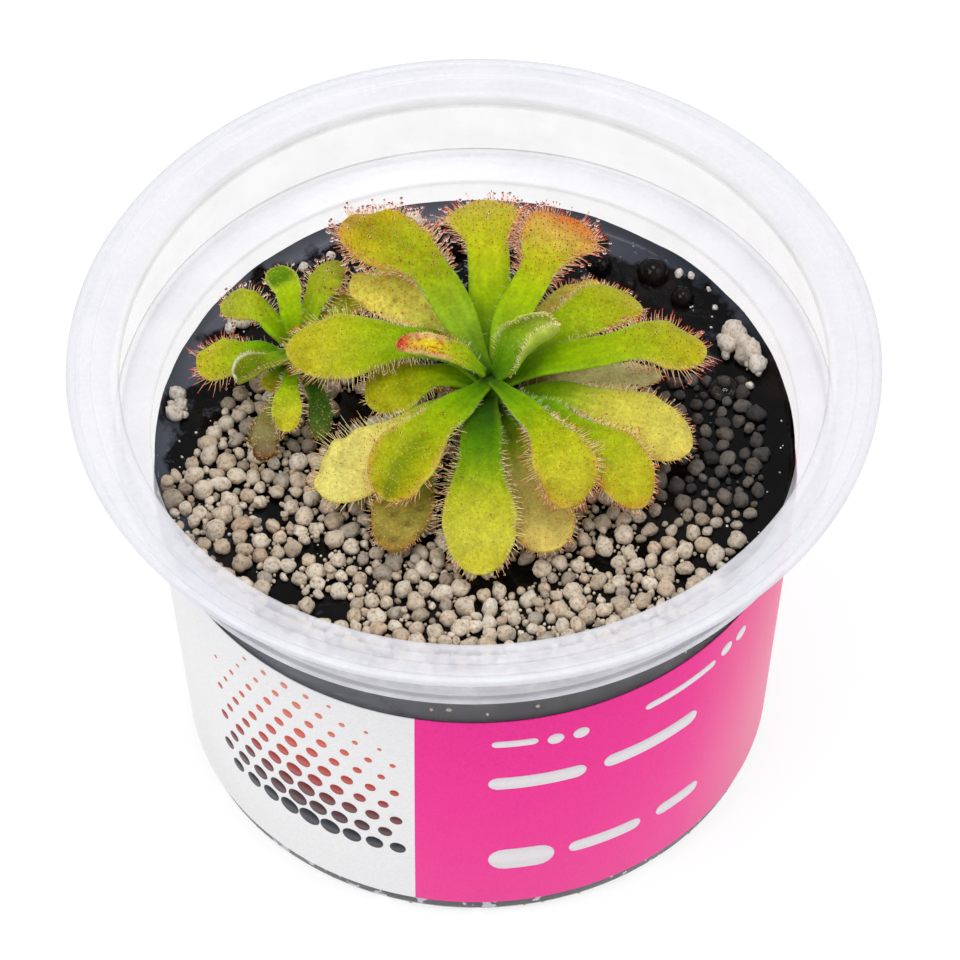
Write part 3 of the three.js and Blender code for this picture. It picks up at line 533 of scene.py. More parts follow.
def floor_look():
    """A lit table."""
    look = Look("floor", Roughness=0.9, IOR=1.2, Emission_Color=(1, 1, 1), Emission_Strength=FLOOR_GLOW)
    shade = look.spread(look.noise(160), 0, 1, 0.3, 0.7)
    look.feed("Base Color", look.mix(shade, srgb(138, 138, 138), srgb(142, 142, 142)))
    return look.material


# ------------------------------------------------------------------ the holder
def make_cup():
    """One moulded shell, with all its corners slightly rounded."""
    base, neck, step, rim, foot = BASE_RADIUS, NECK_RADIUS, STEP_RADIUS, RIM_RADIUS, FOOT_INNER
    crease, roll = CREASE_RADIUS, ROLL_RADIUS
    ledge, top = STEP_HEIGHT, CUP_HEIGHT
    lip, under = top - 0.8, top - 0.55
    profile = [
        (0, FOOT_RECESS), (foot, FOOT_RECESS), (foot + 0.6, 0), (base - 1.4, 0), (base - 0.4, 0.4),
        (base, BASE_CORNER), (neck, NECK_HEIGHT),
        # The step, with a small bead round its lower edge.
        (step - 0.5, ledge - 0.6), (step + 0.1, ledge - 0.1), (step + 0.35, ledge + 0.15),
        (step + 0.3, ledge + 0.45), (step, ledge + 0.65), (step + 0.4, top - 1.6), (step + 1.2, under),
        # The rim, from below round the lip to the rolled edge and the crease.
        (rim - 0.8, under), (rim - 0.7, lip), (rim, lip), (rim, top - 0.35), (rim - 0.4, top),
        (roll + 0.3, top), (roll, top - 0.2), (roll - 0.3, top - 0.06), (crease + 0.3, top - 0.06),
        (crease, top - 0.35), (crease - 0.4, top - 0.2), (step + 0.5, top), (step - 0.3, top - 0.2),
        # The inside, down to the floor.
        (step - 0.6, top - 0.9), (step - WALL, ledge + 0.8), (step - WALL - 0.6, ledge + 0.2),
        (neck - WALL, NECK_HEIGHT + 0.5), (wall_radius(THIN_HEIGHT) - WALL, THIN_HEIGHT),
        (base - FOOT_WALL, BASE_CORNER), (base - 0.7, FLOOR_HEIGHT), (base - 1.4, FOOT_SKIN),
        (foot + 0.7, FOOT_SKIN), (foot, FLOOR_HEIGHT), (0, FLOOR_HEIGHT),
    ]
    shell = Shell().add(*revolved(rounded(profile, 0.3), TURNS))
    shell.piece("fine_cup", cup_look(), "cup_plastic", ["cup"])


def make_label():
    inner = [(wall_radius(height) + LABEL_GAP, height) for height in (BAND_BOTTOM, BAND_TOP)]
    outer = [(radius + LABEL_THICKNESS, height) for radius, height in inner]
    band = Shell().add(*revolved(rounded([inner[0], *outer, inner[1], inner[0]], 0.05, 2), TURNS))
    band.piece("fine_label", label_look(), "label_print", ["label_band"])


def ink_patch(shell, angle, height, half, rise):
    """A printed patch on the label, `angle` degrees from the front and 2 * half long, with a half height at x
    of rise(x)."""
    base = LABEL_GAP + LABEL_THICKNESS - 0.02
    degrees = math.degrees(1 / (wall_radius(height) + base))
    columns = half * np.sin(np.linspace(-1.5, 1.5, max(13, int(half * 3))))
    points = []
    for proud in (base, base + 0.05):
        for x in columns:
            turn = math.radians(angle + x * degrees)
            for z in (height - rise(x), height, height + rise(x)):
                radius = wall_radius(z) + proud
                points.append((radius * math.sin(turn), -radius * math.cos(turn), z))
    shell.add(points, skin_faces(len(columns), 3))


def ink_disc(shell, angle, height, radius):
    ink_patch(shell, angle, height, radius, lambda x: math.sqrt(radius ** 2 - x ** 2))


def ink_bar(shell, first, last, height, tall):
    """A bar with round ends from the first to the last angle."""
    half = math.radians(last - first) / 2 * wall_radius(height)
    end = tall / 2

    def rise(x):
        past = max(0.0, abs(x) - (half - end))
        return math.sqrt(max(end ** 2 - past ** 2, 1e-4))

    ink_patch(shell, (first + last) / 2, height, half, rise)


WHITE_BARS = [               # from angle, to angle, height, how tall
    (2.4, 10.9, 37.7, 1.3), (31.7, 48.4, 37.4, 1.3), (1.7, 20.3, 29.1, 2.5), (23.7, 44.6, 29.1, 2.5),
    (1.6, 14.6, 12.4, 4.2), (17.4, 32.8, 12.6, 2.2), (36.4, 47.2, 12.6, 2.2),
]
WHITE_DOTS = [(14.1, 37.4, 1.05), (18.9, 37.4, 1.05), (51.4, 38.0, 1.05), (55.8, 38.0, 1.05)]
DOT_ROWS = 10
DOT_COLUMNS = 9
DOT_CENTRE = (-37.0, 25.4)
DOT_PITCH = (4.7, 3.0)       # degrees across, millimetres up
DOT_TONES = [(0, 236, 140, 116), (0.35, 222, 88, 70), (0.65, 176, 48, 42), (0.8, 98, 36, 40),
             (1, 34, 36, 50)]


def make_marks():
    """Plain dots and bars: bars on the coloured panel, a field of dots on the pale one."""
    white = Shell()
    for bar in WHITE_BARS:
        ink_bar(white, *bar)
    for dot in WHITE_DOTS:
        ink_disc(white, *dot)
    white.piece("label_marks", ink_look("ink_white", srgb(240, 236, 240)), "label_print")
    for row in range(DOT_ROWS):
        share = row / (DOT_ROWS - 1)
        dots = Shell()
        for column in range(DOT_COLUMNS):
            middle = column - (DOT_COLUMNS - 1) / 2
            angle = DOT_CENTRE[0] + (middle + row % 2 / 2) * DOT_PITCH[0]
            height = DOT_CENTRE[1] + (DOT_ROWS / 2 - row) * DOT_PITCH[1]
            radius = 0.55 + 0.95 * share - 0.12 * abs(middle)
            if radius > 0.25:
                ink_disc(dots, angle, height, radius)
        colour = stops(DOT_TONES, np.array([share]))[0]
        dots.piece(f"label_dots_{row + 1}", ink_look(f"ink_{row + 1}", colour), "label_print")


# --------------------------------------------------------- gel and its granules
# Bubbles that stand half out of the gel: x, y, radius. The first three are the frame's.
GEL_BUBBLES = [
    (22.2, 28.4, 2.0), (25.8, 24.4, 1.5), (15.6, 29.8, 1.6), (-3.0, 33.6, 2.6), (19.2, 26.6, 1.0),
    (24.4, 30.6, 0.5), (14.5, -11.6, 0.6), (13.9, -14.0, 0.55), (20.6, -18.4, 0.5), (9.4, 32.0, 1.3),
]
CLEAR_BUBBLES = [
    (30.7, 9.6, 1.9), (15.8, -12.4, 0.5), (15.2, -15.2, 0.45), (23.0, -18.6, 0.5), (-3.4, 17.6, 1.0),
]


def gel_lift(points):
    """How far the gel's surface stands off flat: slow waves and a rise at the wall."""
    radius = np.hypot(points[:, 0], points[:, 1])
    edge = wall_radius(GEL_HEIGHT) - WALL
    lift = 0.12 * ripple(points, (19, 13, 9, 6), 3) + 0.05 * ripple(points, (3.4, 2.6, 2.1), 4)
    climb = 1.0 + 0.8 * smoothstep(0, 34, points[:, 1]) + 0.35 * ripple(points, (11, 7, 4.5), 5)
    return lift + climb * np.exp(-(edge - radius) / 0.7)


def make_gel():
    """It fills the cup, with a narrow gap, and has its waves and bubbles on top."""
    base, foot = BASE_RADIUS, FOOT_INNER
    edge = wall_radius(GEL_HEIGHT) - WALL - GEL_GAP
    sides = [
        (0, FLOOR_HEIGHT), (foot, FLOOR_HEIGHT), (foot + 0.8, FOOT_SKIN), (base - 1.5, FOOT_SKIN),
        (base - 0.75, FLOOR_HEIGHT), (base - FOOT_WALL, BASE_CORNER),
        (wall_radius(THIN_HEIGHT) - WALL, THIN_HEIGHT),
    ]
    sides = [(max(radius - GEL_GAP, 0), height + GEL_GAP) for radius, height in sides]
    top = [(edge * math.sin(a), GEL_HEIGHT) for a in np.linspace(math.pi / 2, 0, 70)]
    points, faces = revolved(sides + top, 192)
    surface = points[:, 2] >= GEL_HEIGHT - 1e-6
    points[surface, 2] += gel_lift(points[surface])
    shell = Shell().add(points, faces)
    ball, triangles = SPHERES[3]
    for x, y, radius in GEL_BUBBLES:
        shell.add(ball * radius + (x, y, GEL_HEIGHT + 0.15 * radius), triangles)
    shell.piece("fine_gel", gel_look(), "gel", ["gel"])


def make_bubbles():
    """Thin domes of wet gel with air in them."""
    shell = Shell()
    ball, triangles = SPHERES[3]
    for x, y, radius in CLEAR_BUBBLES:
        shell.add(ball * (radius, radius, radius * 0.5) + (x, y, GEL_HEIGHT + 0.3 * radius), triangles)
    shell.piece("clear_bubbles", DEW, "dew")


# The granule bed's radius, how far back it goes, its back edge from wall to wall, and spots of bare gel.
BED_RADIUS = 39.0
BED_DEPTH = 13.5
BED_BACK = [
    (-38.6, -6), (-33.5, 1.5), (-31, 7), (-26, 13.3), (-18, 12.5),
    (-6, 9.5), (8, 9.5), (20, 11.5), (30, 11.5), (37.5, 11),
]
BARE_SPOTS = [
    (-19.9, -15.6, 1.8), (-25.2, -9.4, 1.9), (-30.0, -16.2, 1.8), (-23.5, -22.8, 2.6), (-18.0, -24.8, 2.6),
    (-27.5, -19.4, 1.4), (0.4, -20.9, 1.7), (4.6, -19.9, 2.3), (16.6, -23.4, 1.2), (15.6, -17.8, 1.6),
    (-11.5, -12.6, 1.5), (24.0, -9.6, 1.9), (30.5, -13.6, 1.6), (-6.0, -14.0, 1.5), (32.0, 1.0, 1.6),
    (-17.6, 3.2, 2.4), (-13.4, 1.0, 2.2), (-3.5, -5.0, 4.5), (3.0, -3.5, 4.5), (-9.5, -2.0, 2.5),
    (-14.5, 7.0, 3.0), (27.5, -18.6, 1.5), (22.6, -1.5, 1.3),
]
# Right and back of these corners the gel at the wall is bare, and the granules lie apart and are sunk in it.
BARE_CORNER = (19, -22)
APART_CORNER = (20, -16)
SUNK_CORNER = (20, -14)
# Granules in the order they are laid: how many at most, radius from and to, how close, and detail.
GRANULE_SIZES = [(480, 0.8, 1.2, 0.92, 2), (1000, 0.4, 0.74, 0.92, 1), (700, 0.2, 0.36, 0.9, 0)]
SECOND_LAYER = 50            # at most so many lie on others, and only left of this line
SECOND_LAYER_EDGE = 16

# Granules stuck together on the bare gel: x, y, radius. The first rows are the frame's.
CLUMPS = {
    "left": [(-36.5, 9.4, 1.05), (-36.1, 7.8, 0.9), (-36.8, 6.5, 1.0), (-37.2, 8.1, 0.5), (-35.7, 6.4, 0.5)],
    "right": [(32, 18.2, 1.35), (31.2, 16.4, 1.1), (33.2, 16.4, 1.25), (33.8, 14.6, 1.4), (34.8, 13, 1.3),
              (31.9, 19.6, 0.8), (30.6, 17.6, 0.6), (31.0, 15.0, 0.5)],
}
# Pale bits scattered over the bare gel and along the wall.
BITS = [
    (25.4, 28.3, 0.55), (27.2, 27.9, 0.6), (29.2, 25.7, 0.5), (29.8, 22.8, 0.4), (21.9, 31.9, 0.3),
    (-28.9, 21.4, 1.3), (-27.2, 21.9, 0.9), (-7.2, 37.2, 1.1), (4.3, 37.6, 0.9), (-30.0, 20.4, 0.6),
    (14.2, 35.6, 0.35), (-20.9, 30.0, 0.6), (-17.5, 31.8, 0.5), (19.9, 32.9, 0.25), (33.9, 10.2, 0.6),
]
WALL_BITS = 70               # small granules held between the gel and the wall, high up and at the foot
HIGH_BITS = (43, 46)         # from what height to what height
LOW_BITS = (1.1, 1.3)
SPECKS = 420                 # pale dust on the bare gel
SPECK_RADIUS = 38.6


def in_corner(corner, x, y):
    return x > corner[0] and y > corner[1]


def inside_bed(x, y):
    if math.hypot(x, y) > BED_RADIUS - 3.6 * in_corner(BARE_CORNER, x, y):
        return False
    back = np.interp(x, [p[0] for p in BED_BACK], [p[1] for p in BED_BACK])
    return y < back and not any(math.hypot(x - a, y - b) < r for a, b, r in BARE_SPOTS)


def granule_sites():
    """Places, sizes and detail: the largest first, the small ones in the gaps between them."""
    placed = np.empty((0, 3))
    details = []
    for most, low, high, room, detail in GRANULE_SIZES:
        laid = np.empty((most, 3))
        count = 0
        for _ in range(most * 12):
            if count == most:
                break
            radius = random.uniform(low, high)
            x, y = random.uniform(-BED_RADIUS, BED_RADIUS), random.uniform(-BED_RADIUS, BED_DEPTH)
            if in_corner(SUNK_CORNER, x, y):
                radius *= 0.82
                if radius < 0.4 and random.uniform() < 0.8:
                    continue
            if not inside_bed(x, y) or math.hypot(x, y) + radius > BED_RADIUS:
                continue
            reach = radius * room + 0.32 * in_corner(APART_CORNER, x, y)
            for sites in (placed, laid[:count]):
                if np.any(np.hypot(sites[:, 0] - x, sites[:, 1] - y) < sites[:, 2] * room + reach):
                    break
            else:
                laid[count] = (x, y, radius)
                count += 1
        placed = np.vstack([placed, laid[:count]])
        details += [detail] * count
    return placed, np.array(details)


def lump(shell, centre, radius, tint, detail):
    """One rough granule: a sphere cut flat here and there, squashed, turned and dented, and darker towards
    the bottom, partly where the wet gel holds it and partly as painted shade on its underside."""
    ball, triangles = SPHERES[detail]
    cuts = unit(random.normal(size=(6, 3)))
    reach = random.uniform(0.8, 1.05, 6) / np.maximum(ball @ cuts.T, 1e-3)
    dents = 0.11 * ripple(ball, (2.1, 1.5), random.randint(1 << 30))
    dents += 0.08 * ripple(ball, (0.9, 0.7, 0.5), random.randint(1 << 30))
    dents += 0.035 * random.normal(size=len(ball))
    shape = ball * (np.minimum(reach.min(axis=1), 1.08) * (1 + dents))[:, None]
    turn, _ = np.linalg.qr(random.normal(size=(3, 3)))
    if np.linalg.det(turn) < 0:
        turn[:, 0] *= -1
    shape = (shape * random.uniform(0.78, 1.2, 3)) @ turn * radius
    # partly wet gel, partly painted shade: the lower part of the granule is darkened
    wet = smoothstep(-0.9, 0.25, shape[:, 2] / radius)
    shell.add(shape + centre, triangles, tint * (0.3 + 0.7 * wet)[:, None])


def granule_tint(x=0, y=0):
    """Cream to grey-brown; dark where the gel covers the granules."""
    tone = mix(srgb(238, 227, 210), srgb(208, 189, 166), random.uniform())
    if random.uniform() < 0.08:
        tone = mix(tone, srgb(200, 170, 144), 0.6)
    tone = tone * random.uniform(0.86, 1.06)
    sunk = float(smoothstep(17, 25, x) * smoothstep(-16, -6, y)) * random.uniform(0.76, 0.98)
    sunk = max(sunk, 0.4 * (random.uniform() < 0.12))
    return mix(tone, srgb(40, 42, 50), sunk)


def make_granules():
    sites, details = granule_sites()
    large, small = Shell(), Shell()
    for (x, y, radius), detail in zip(sites, details):
        raised = random.uniform(0.3, 0.65) - 0.3 * in_corner(SUNK_CORNER, x, y)
        height = GEL_HEIGHT + 0.1 + radius * raised
        lump(large if detail == 2 else small, (x, y, height), radius, granule_tint(x, y), detail)
    coarse = sites[details == 1]
    for x, y, radius in coarse[random.permutation(len(coarse))[:SECOND_LAYER]]:
        if x < SECOND_LAYER_EDGE:
            shift = random.uniform(-0.4, 0.4, 2)
            centre = (x + shift[0], y + shift[1], GEL_HEIGHT + 0.9 + radius)
            lump(large, centre, radius, granule_tint(x, y), 1)
    large.piece("fine_granules", GRANULE, "granule", ["granule_bed"])
    small.piece("fine_granules_small", GRANULE, "granule")


def make_clumps():
    for side, lumps in CLUMPS.items():
        shell = Shell()
        for x, y, radius in lumps:
            tint = mix(granule_tint(), srgb(250, 244, 238), 0.5)
            lump(shell, (x, y, GEL_HEIGHT + radius * 0.8), radius, tint, 2)
            for _ in range(5):
                angle = random.uniform(0, 2 * math.pi)
                reach = radius * random.uniform(0.8, 1.0)
                beside = x + reach * math.cos(angle), y + reach * math.sin(angle)
                crumb = (*beside, GEL_HEIGHT + radius * 0.5)
                lump(shell, crumb, radius * random.uniform(0.22, 0.4), tint, 1)
        shell.piece(f"fine_clump_{side}", GRANULE, "granule", [f"granule_clump_{side}"])


def make_bits():
    """Loose bits, the granules that show through the wall, and dust."""
    shell = Shell()
    for x, y, radius in BITS:
        tint = mix(granule_tint(), srgb(252, 250, 248), 0.7)
        lump(shell, (x, y, GEL_HEIGHT + radius * 0.5), radius, tint, 2)
    for _ in range(WALL_BITS):
        angle = random.uniform(0, 2 * math.pi)
        if random.uniform() < 0.5:
            height, radius = random.uniform(*HIGH_BITS), random.uniform(0.15, 0.5)
            reach = wall_radius(height) - WALL - 0.8 * radius
        else:
            height, radius = random.uniform(*LOW_BITS), random.uniform(0.3, 0.5)
            reach = BASE_RADIUS - 0.27 - 1.1 * radius
        lump(shell, (reach * math.sin(angle), -reach * math.cos(angle), height), radius, granule_tint(), 1)
    for _ in range(SPECKS):
        angle = random.uniform(-0.75, 1.0) * math.pi + math.pi
        reach = SPECK_RADIUS * math.sqrt(random.uniform(0.3, 1.0))
        x, y = reach * math.sin(angle), -reach * math.cos(angle)
        if not inside_bed(x, y):
            lump(shell, (x, y, GEL_HEIGHT + 0.05), random.uniform(0.06, 0.2), srgb(240, 238, 238), 0)
    shell.piece("loose_bits", GRANULE, "granule")


# ------------------------------------------------------------------------ stems
STEMS = {
    "rosette": {"centre": (2.0, 3.5), "radius": 2.2, "foot": 40.0, "top": 56.6, "node": "crown_stem"},
    "offset": {"centre": (-22.0, 11.5), "radius": 1.3, "foot": 42.5, "top": 53.4, "node": "offset_stem"},
}
STEM_TONES = [(0, 96, 92, 40), (1, 58, 98, 4)]


def make_stems():
    for name, stem in STEMS.items():
        radius, foot, top = stem["radius"], stem["foot"], stem["top"]
        profile = [(0, foot), (radius * 0.45, foot + 0.4), (radius, foot + 3), (radius, top - 3),
                   (radius * 0.78, top - 1.2), (radius * 0.4, top - 0.25), (0, top)]
        points, faces = revolved(rounded(profile, 0.8, 4), 32)
        points[:, :2] += stem["centre"]
        points += 0.12 * ripple(points, (2.4, 1.7, 1.2), 9)[:, None] * unit(points - (*stem["centre"], 50))
        skin = Shell().add(points, faces, stops(STEM_TONES, smoothstep(top - 9, top, points[:, 2])))
        skin.piece(f"fine_{name}_stem", LEAF, "stem_green", [stem["node"]])


# ----------------------------------------------------------------------- leaves
# Colours along a leaf, from stem to tip: how far along, then the display colour.
TONES = {
    "green": [(0, 50, 96, 0), (0.15, 100, 150, 0), (0.35, 140, 174, 0), (0.62, 158, 180, 8),
              (1, 188, 180, 24)],
    "bright": [(0, 50, 96, 0), (0.2, 112, 158, 0), (0.42, 148, 178, 0), (0.62, 184, 192, 14),
               (1, 204, 190, 56)],
    "rosy": [(0, 56, 104, 0), (0.25, 142, 178, 0), (0.5, 168, 190, 0), (0.68, 194, 192, 34),
             (0.85, 220, 186, 82), (1, 222, 146, 76)],
    "moss": [(0, 50, 96, 0), (0.2, 110, 156, 0), (0.45, 160, 184, 2), (0.65, 172, 182, 6),
             (1, 178, 174, 14)],
    # the cupped tone's darker blade is painted shade in the leaf's hollow
    "cupped": [(0, 60, 110, 0), (0.35, 132, 170, 6), (0.6, 112, 128, 2), (1, 112, 128, 8)],
    "folded": [(0, 60, 110, 0), (0.35, 156, 188, 0), (0.66, 164, 190, 8), (0.74, 92, 134, 4),
               (1, 116, 154, 8)],
    "light": [(0, 60, 110, 0), (0.3, 146, 182, 0), (0.6, 174, 190, 26), (1, 174, 178, 58)],
    "lime": [(0, 50, 94, 0), (0.2, 90, 142, 0), (0.4, 124, 168, 0), (0.6, 160, 184, 2),
             (0.82, 188, 188, 32), (1, 188, 180, 30)],
    "front": [(0, 30, 70, 0), (0.22, 46, 86, 0), (0.4, 84, 136, 0), (0.54, 140, 168, 2),
              (0.66, 184, 188, 34), (0.85, 200, 198, 62), (1, 198, 188, 40)],
    "fresh": [(0, 60, 108, 0), (0.3, 98, 150, 6), (0.6, 144, 178, 28), (1, 186, 196, 84)],
    "gold": [(0, 56, 102, 0), (0.25, 136, 168, 30), (0.5, 156, 174, 10), (0.74, 188, 192, 24),
             (0.88, 196, 182, 8), (1, 216, 172, 70)],
    "yellow": [(0, 76, 124, 2), (0.3, 130, 168, 8), (0.55, 206, 200, 70), (1, 222, 208, 98)],
    "amber": [(0, 104, 150, 4), (0.4, 168, 186, 16), (0.7, 222, 204, 40), (1, 216, 160, 84)],
    "pale": [(0, 100, 142, 10), (0.35, 168, 184, 40), (0.6, 230, 218, 116), (1, 228, 218, 122)],
    # the cream tone is the pale leaves' colour, lifted further as painted light for leaves that lie in shade
    "cream": [(0, 110, 146, 14), (0.35, 196, 204, 80), (0.6, 240, 232, 100), (1, 238, 226, 92)],
    "spent": [(0, 90, 108, 14), (0.45, 140, 144, 66), (0.7, 146, 140, 92), (1, 104, 74, 56)],
    "straw": [(0, 80, 130, 6), (0.35, 142, 164, 26), (0.55, 200, 186, 96), (1, 206, 184, 96)],
    "old": [(0, 74, 100, 10), (0.4, 112, 128, 26), (0.7, 172, 164, 70), (1, 150, 130, 58)],
    # the brown tone's pale blade is partly painted light, lifted for a leaf that lies in shade
    "brown": [(0, 84, 66, 18), (0.3, 132, 102, 42), (0.5, 228, 218, 146), (1, 238, 230, 170)],
    "shade": [(0, 32, 70, 12), (0.5, 50, 88, 26), (1, 76, 96, 36)],
}
# Margins that aren't pale yellow, and worn patches that aren't brown: display colour and strength.
RIM = (218, 214, 108, 0.4)
RIMS = {"spent": (40, 16, 18, 0.8), "shade": (50, 70, 26, 0.4), "old": (120, 96, 44, 0.4),
        "cupped": (228, 234, 206, 0.8)}
WORN = (178, 112, 36, 0.3)
WORNS = {"old": (74, 58, 28, 0.6)}


def leaf(name, tone, attach, path, petiole, blade, curl, flare=0.42, red=0.5, length=1.5, blush=0.3,
         dense=1.0, wave=0.12, hollow=0.0, spots=0.3, dew=0.1, tip=0.65, thick=0.7, plus=1.0, minus=1.0,
         ember=0.0, down=0.5, crest=0.55, freckles=0.0, rolled=0.0):
    """One row of the leaf tables. The first measures are the frame's; `red` is how red the tentacles are,
    `length` the longest on the margin, `blush` how red the margin is, `dense` how crowded the tentacles
    are, `wave` how wavy the margin, `hollow` how deep the channel and how dark its painted shade, `spots`
    how speckled the face, `dew` the share of tentacles with a drop, `tip` how long the tentacles at the tip
    are beside the longest, `plus` and `minus` the same for the margins at c = 1 and c = -1, `ember` how red
    the very tip is, `down` how hairy the blade's neck is, `crest` the share of the blade that lies before
    its widest place, `freckles` how many red dots the face has, and `rolled` how pale the rolled margins are."""
    return dict(locals())


ROSETTE_LEAVES = [
    leaf("leaf_front", "front", 54.6,
         [(1, -4, 56.5), (0.5, -11.5, 56), (0.5, -18, 53.2), (0.5, -22.5, 50.3)],
         5.2, 9.4, -0.45, red=0.2, length=1.4, blush=0.05, spots=0.1),
    leaf("leaf_front_under", "old", 50, [(0, 1, 50.6), (-1, -7, 50.6), (-1.5, -14.5, 50.3)],
         3.6, 5, -0.2, red=0.4, length=1.3, dense=0.7),
    leaf("leaf_front_left", "moss", 56.4,
         [(-2.5, -2, 57.6), (-6, -6.5, 58), (-9, -10.5, 57), (-11, -13.5, 54)],
         4.8, 8.8, 0.35, red=0.7, length=2.3, blush=0.5, hollow=0.8, plus=0.4, tip=0.4),
    leaf("leaf_front_left_pale", "pale", 53.8,
         [(-4, 0.5, 54.4), (-9, -3, 54.6), (-14.5, -7, 53.6), (-19, -10, 51)],
         4.2, 9.4, -0.35, red=0.15, length=2.0, blush=0.1, wave=0.3, spots=0.15),
    leaf("leaf_front_left_old", "old", 52.0,
         [(-3.5, -0.5, 52.2), (-7.5, -8, 51.8), (-9.5, -14.5, 51), (-10.5, -18.5, 50.3)],
         3.6, 7.5, -0.2, red=0.25, length=1.0, spots=1.0, wave=0.3, down=2.0),
    leaf("leaf_left", "lime", 55.4, [(-3.5, 8, 57.2), (-9.5, 7.5, 59.2), (-17, 7, 59.6), (-23, 7.5, 57.5)],
         4.2, 9.2, -0.6, red=0.45, length=1.4, blush=0.08, dense=1.2, flare=0.4, tip=0.9),
    leaf("leaf_left_young", "amber", 57.6, [(-1.5, 4, 60.4), (-5.5, 4, 62), (-9.5, 4.5, 62)],
         3.4, 4.0, 1.2, red=0.9, length=0.5, blush=0.1, spots=0.2, wave=0.08, dew=0.05, flare=0.3,
         ember=1.0, freckles=0.95, rolled=0.85),
    leaf("leaf_back_left", "gold", 56.7,
         [(-1.5, 9.5, 60.5), (-5, 16, 62.3), (-10, 21.5, 62.3), (-15.5, 26, 60.5)],
         5, 9.6, -0.4, flare=0.5, red=0.7, length=1.7, blush=0.9, hollow=0.45, dense=1.6, wave=0.4,
         spots=0.5, dew=0.4, tip=0.8, plus=1.1, minus=0.7, freckles=0.2),
    leaf("leaf_back_left_pale", "cream", 52.6,
         [(-2.5, 11, 55), (-7, 15, 56.6), (-10.5, 17.5, 57), (-15, 20, 56)],
         3.8, 7.2, -0.3, red=0.4, length=1.4, blush=0.2, wave=0.25, freckles=0.4),
    leaf("leaf_back", "bright", 54.2, [(2, 12, 58.2), (2, 18, 61.5), (1.5, 24, 62.2), (1, 29, 60)],
         5.2, 9.6, -0.35, flare=0.66, red=0.85, length=1.6, dense=1.4, dew=0.15, tip=0.9, crest=0.7),
    leaf("leaf_back_right", "rosy", 55.8, [(4.5, 10, 60), (7.5, 15, 62.4), (10, 21, 62.4), (12.5, 25, 61)],
         4.4, 9.8, -0.2, flare=0.56, red=0.95, length=1.6, blush=0.9, dense=1.7, dew=0.2, tip=0.9,
         ember=0.25, crest=0.78, freckles=0.15),
    leaf("leaf_right_back", "green", 53.2,
         [(7.5, 9.5, 56.5), (12.5, 11.5, 58.3), (17, 15, 57.6), (20.5, 16.5, 54.5)],
         4.2, 7, -0.4, length=1.1, blush=0.15, spots=0.1, dense=1.3),
    leaf("leaf_right_back_pale", "cream", 51.8, [(7, 12, 53.4), (11, 17.5, 53.6), (15.5, 22, 52.6)],
         3.2, 5, -0.2, red=0.6, length=1.3, blush=0.6),
    leaf("leaf_right", "green", 54.9, [(8.5, 5, 58), (15.5, 5.5, 59.6), (22, 7.5, 59.2), (28.5, 8, 56)],
         4.7, 8, -0.5, red=0.9, length=1.9, blush=0.25, flare=0.58, spots=0.4, tip=0.9, plus=1.1,
         minus=0.8),
    leaf("leaf_right_old", "brown", 51, [(9.5, 7, 51.6), (16, 8, 51.4), (23, 9, 50.6)],
         3.2, 4.4, -0.2, red=0.3, length=0.8, dense=0.8),
    leaf("leaf_right_low", "yellow", 52.4,
         [(9.5, 3.5, 53.8), (16, 1, 54.4), (22, -1.5, 53.2), (26.5, -3.5, 51)],
         4, 9.2, -0.4, red=0.35, length=1.1, spots=0.6),
    leaf("leaf_front_right_low", "lime", 53.9,
         [(8, -0.5, 55.6), (13.5, -6, 56.8), (18, -9.5, 55.8), (20.5, -13.5, 52)],
         4, 8.6, -0.4, red=0.6, length=1.2, blush=0.9, spots=0.8, dense=1.2, down=1.0),
    leaf("leaf_front_right", "bright", 56.8,
         [(6.5, -3, 58.2), (9.5, -8.5, 59.4), (11.5, -13, 58.2), (10.5, -15.5, 54.6)],
         3.8, 8.2, -0.5, red=0.65, blush=0.7, dense=1.35, spots=0.4, down=1.2),
    leaf("leaf_front_right_pale", "straw", 52.6,
         [(4.5, -3, 53.2), (5.5, -8.5, 52.4), (8, -14, 51.2), (9, -19, 50.4)],
         3.8, 8.6, -0.25, red=0.35, length=1.2, wave=0.25),
    leaf("leaf_left_round", "moss", 54, [(-3, 6, 54.4), (-7, 5, 55), (-11, 3.5, 54.6), (-13, 2.5, 53)],
         3.4, 7.6, -0.4, red=0.1, length=1.3, blush=0.05, spots=0.1),
    leaf("leaf_left_hook", "amber", 51.4, [(-2.5, 6.5, 51.8), (-5, 6.5, 52), (-7, 7, 53)],
         2.2, 3.0, 0.9, red=0.9, length=0.5, blush=1.0, ember=1.0, freckles=0.9),
    leaf("folded_leaf", "fresh", 56.8,
         [(3.6, 4.2, 58.6), (5.6, 5.2, 60.2), (8, 6.4, 61.2), (10.4, 7.6, 61.4)],
         5.6, 8.4, 2.2, flare=0.2, red=0.0, length=0.6, blush=0.0, wave=0.1, spots=0.0, dew=0.03,
         tip=1.0, thick=0.6, down=5),
]
